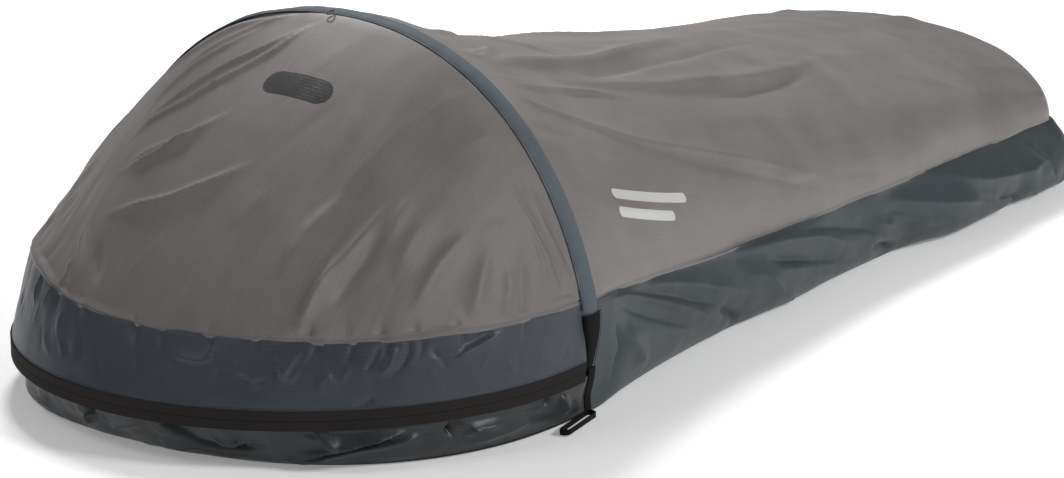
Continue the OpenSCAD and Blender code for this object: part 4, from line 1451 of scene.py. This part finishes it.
def build_pocket(side, hand):
    """The tapered webbing pocket round the pole's foot, wide enough at its mouth for the sleeve."""
    z = np.linspace(0.058, 0.141, 40)
    u = hoop_angle(z)
    k = 48
    turns = full_turn(k)
    share = smooth(0, 1, (z - z[0]) / (z[-1] - z[0]))[:, None]
    square = 2 / 3.2
    c, s = spow(np.cos(turns), square), spow(np.sin(turns), square)
    thick = mix(0.0062, 0.0086, share) * np.abs(s) / np.maximum(np.abs(np.sin(turns)), 1e-6)
    wide = mix(0.0105, 0.0200, share) * np.abs(c) / np.maximum(np.abs(np.cos(turns)), 1e-6)
    outer = hoop_rings(-SLEEVE_T / 2, u, HOOP_X, thick, wide, turns)
    inner = hoop_rings(-SLEEVE_T / 2, u, HOOP_X, thick - 0.0007, wide - 0.0012, turns)
    obj = sweep("pocket_" + side, mirrored(outer, hand), hollow=mirrored(inner, hand))
    return place(obj, "sack", ["pole_pocket_" + side], "webbing", "pocket")


def strap_rings(path, width_way, half_width, half_thick):
    """Rounded flat strap rings along a path; width_way is the way its width points."""
    path = np.array(path, float)
    d = unit(np.gradient(path, axis=0))
    wide = np.broadcast_to(np.asarray(width_way, float), path.shape)
    thick = unit(np.cross(d, wide))
    turns = full_turn(16)
    c, s = spow(np.cos(turns), 0.4), spow(np.sin(turns), 0.6)
    return path[:, None] + half_width * c[None, :, None] * wide[:, None] + (
        half_thick * s[None, :, None] * thick[:, None]
    )


# Half the width and half the thickness of the corner strap's webbing
STRAP_HALF = 0.0080
STRAP_HALF_T = 0.0009


def build_strap(side, hand):
    """The strap from the pocket over the cloth's corner down to the floor's edge."""
    start, end = 0.066, 0.0035
    z = np.linspace(start, end, 34)
    y = -(corner_y(z) + 0.0022 + 0.0035 * smooth(0.03, 0.0, z))
    sway = 0.0025 * np.sin((start - z) / (start - end) * math.pi)
    path = point(np.full_like(z, HOOP_X), y - sway, z)
    rings = strap_rings(path, (1, 0, 0), STRAP_HALF, STRAP_HALF_T)
    obj = sweep("strap_" + side, mirrored(rings, hand))
    return place(obj, "sack", ["corner_strap_" + side], "webbing", "webbing")


# A stake loop's end radius, its run, its turn on the ground, where it is sewn, and its webbing
LOOP_R = 0.0067
LOOP_RUN = 0.078
LOOP_TURN = math.radians(9)
LOOP_X = HOOP_X - 0.008
LOOP_Y = 0.4154
LOOP_HALF = 0.004
LOOP_HALF_T = 0.0007


def build_loop(side, hand):
    """A stake loop: webbing on edge in a long loop on the ground."""
    t = full_turn(60)
    x = np.clip(np.cos(t) * 3, -1, 1)
    run = LOOP_RUN / 2 * (1 + x) + LOOP_R * np.cos(t) * (np.abs(x) >= 1)
    across = LOOP_R * np.clip(np.sin(t) * 1.06, -1, 1)
    ux, uy = -math.cos(LOOP_TURN), -math.sin(LOOP_TURN)
    px = LOOP_X + run * ux - across * uy
    py = -LOOP_Y + run * uy + across * ux
    lift = 0.0046 + 0.0004 * np.sin(2 * t)
    path = point(px, py, lift)
    closed = np.concatenate([path[-1:], path, path[:1]])
    rings = strap_rings(closed, (0, 0, 1), LOOP_HALF, LOOP_HALF_T)[1:-1]
    obj = sweep("loop_" + side, mirrored(rings, hand), closed=True)
    return place(obj, "stake_loop_" + side, ["stake_loop_" + side], "webbing", "webbing")


for side, hand in (("right", -1), ("left", 1)):
    build_pocket(side, hand)
    build_strap(side, hand)
    build_loop(side, hand)


def build_crown_loop():
    """The small cord loop at the crown: out of the sleeve, round, and back into it."""
    radius, thick, slope = 0.005, 0.001, math.radians(16)
    lowest, highest = low("crown_loop"), high("crown_loop")
    middle = (lowest + highest) / 2
    way = np.array([math.cos(slope), 0, math.sin(slope)])
    across = np.array([0.0, 1.0, 0.0])
    t = np.radians(np.linspace(38, 322, 34))
    bend = [middle + radius * (math.cos(a) * way + math.sin(a) * across) for a in t]
    out = [middle + way * d + across * w for d, w in ((0.0085, 0.0012), (0.0062, 0.0019))]
    back = [middle + way * d - across * w for d, w in ((0.0062, 0.0019), (0.0085, 0.0012))]
    path = np.array(out + bend + back)
    d = unit(np.gradient(path, axis=0))
    flat_way = unit(np.cross(way, across))
    side_way = unit(np.cross(d, flat_way))
    turns = full_turn(14)
    rings = path[:, None] + thick * (
        np.cos(turns)[None, :, None] * side_way[:, None] + np.sin(turns)[None, :, None] * flat_way
    )
    obj = sweep("crown_cord", rings)
    place(obj, "crown_loop", ["crown_loop"], "cord_fabric", "cord")


build_crown_loop()


# ---------------------------------------------------------------- hard parts kept from the frame
def finish_node(node, paint, bevel=0.0):
    """Gives a solid of the frame its paint, and rounds its edges."""
    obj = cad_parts[node]
    obj.data.materials.clear()
    obj.data.materials.append(PAINTS[paint])
    if bevel:
        m = obj.modifiers.new("bevel", "BEVEL")
        m.width = bevel
        m.segments = 2
        m.limit_method = "ANGLE"
        m.angle_limit = math.radians(40)


for node in ("slider_front", "slider_rear"):
    finish_node(node, "enamel", 0.0003)
for node in ("pull_front", "pull_rear"):
    finish_node(node, "plastic", 0.0004)
for node in ("pole_centre", "pole_left", "pole_right", "ferrule_left", "ferrule_right"):
    finish_node(node, "alloy")
for node in ("pole_tip_left", "pole_tip_right"):
    finish_node(node, "plastic")
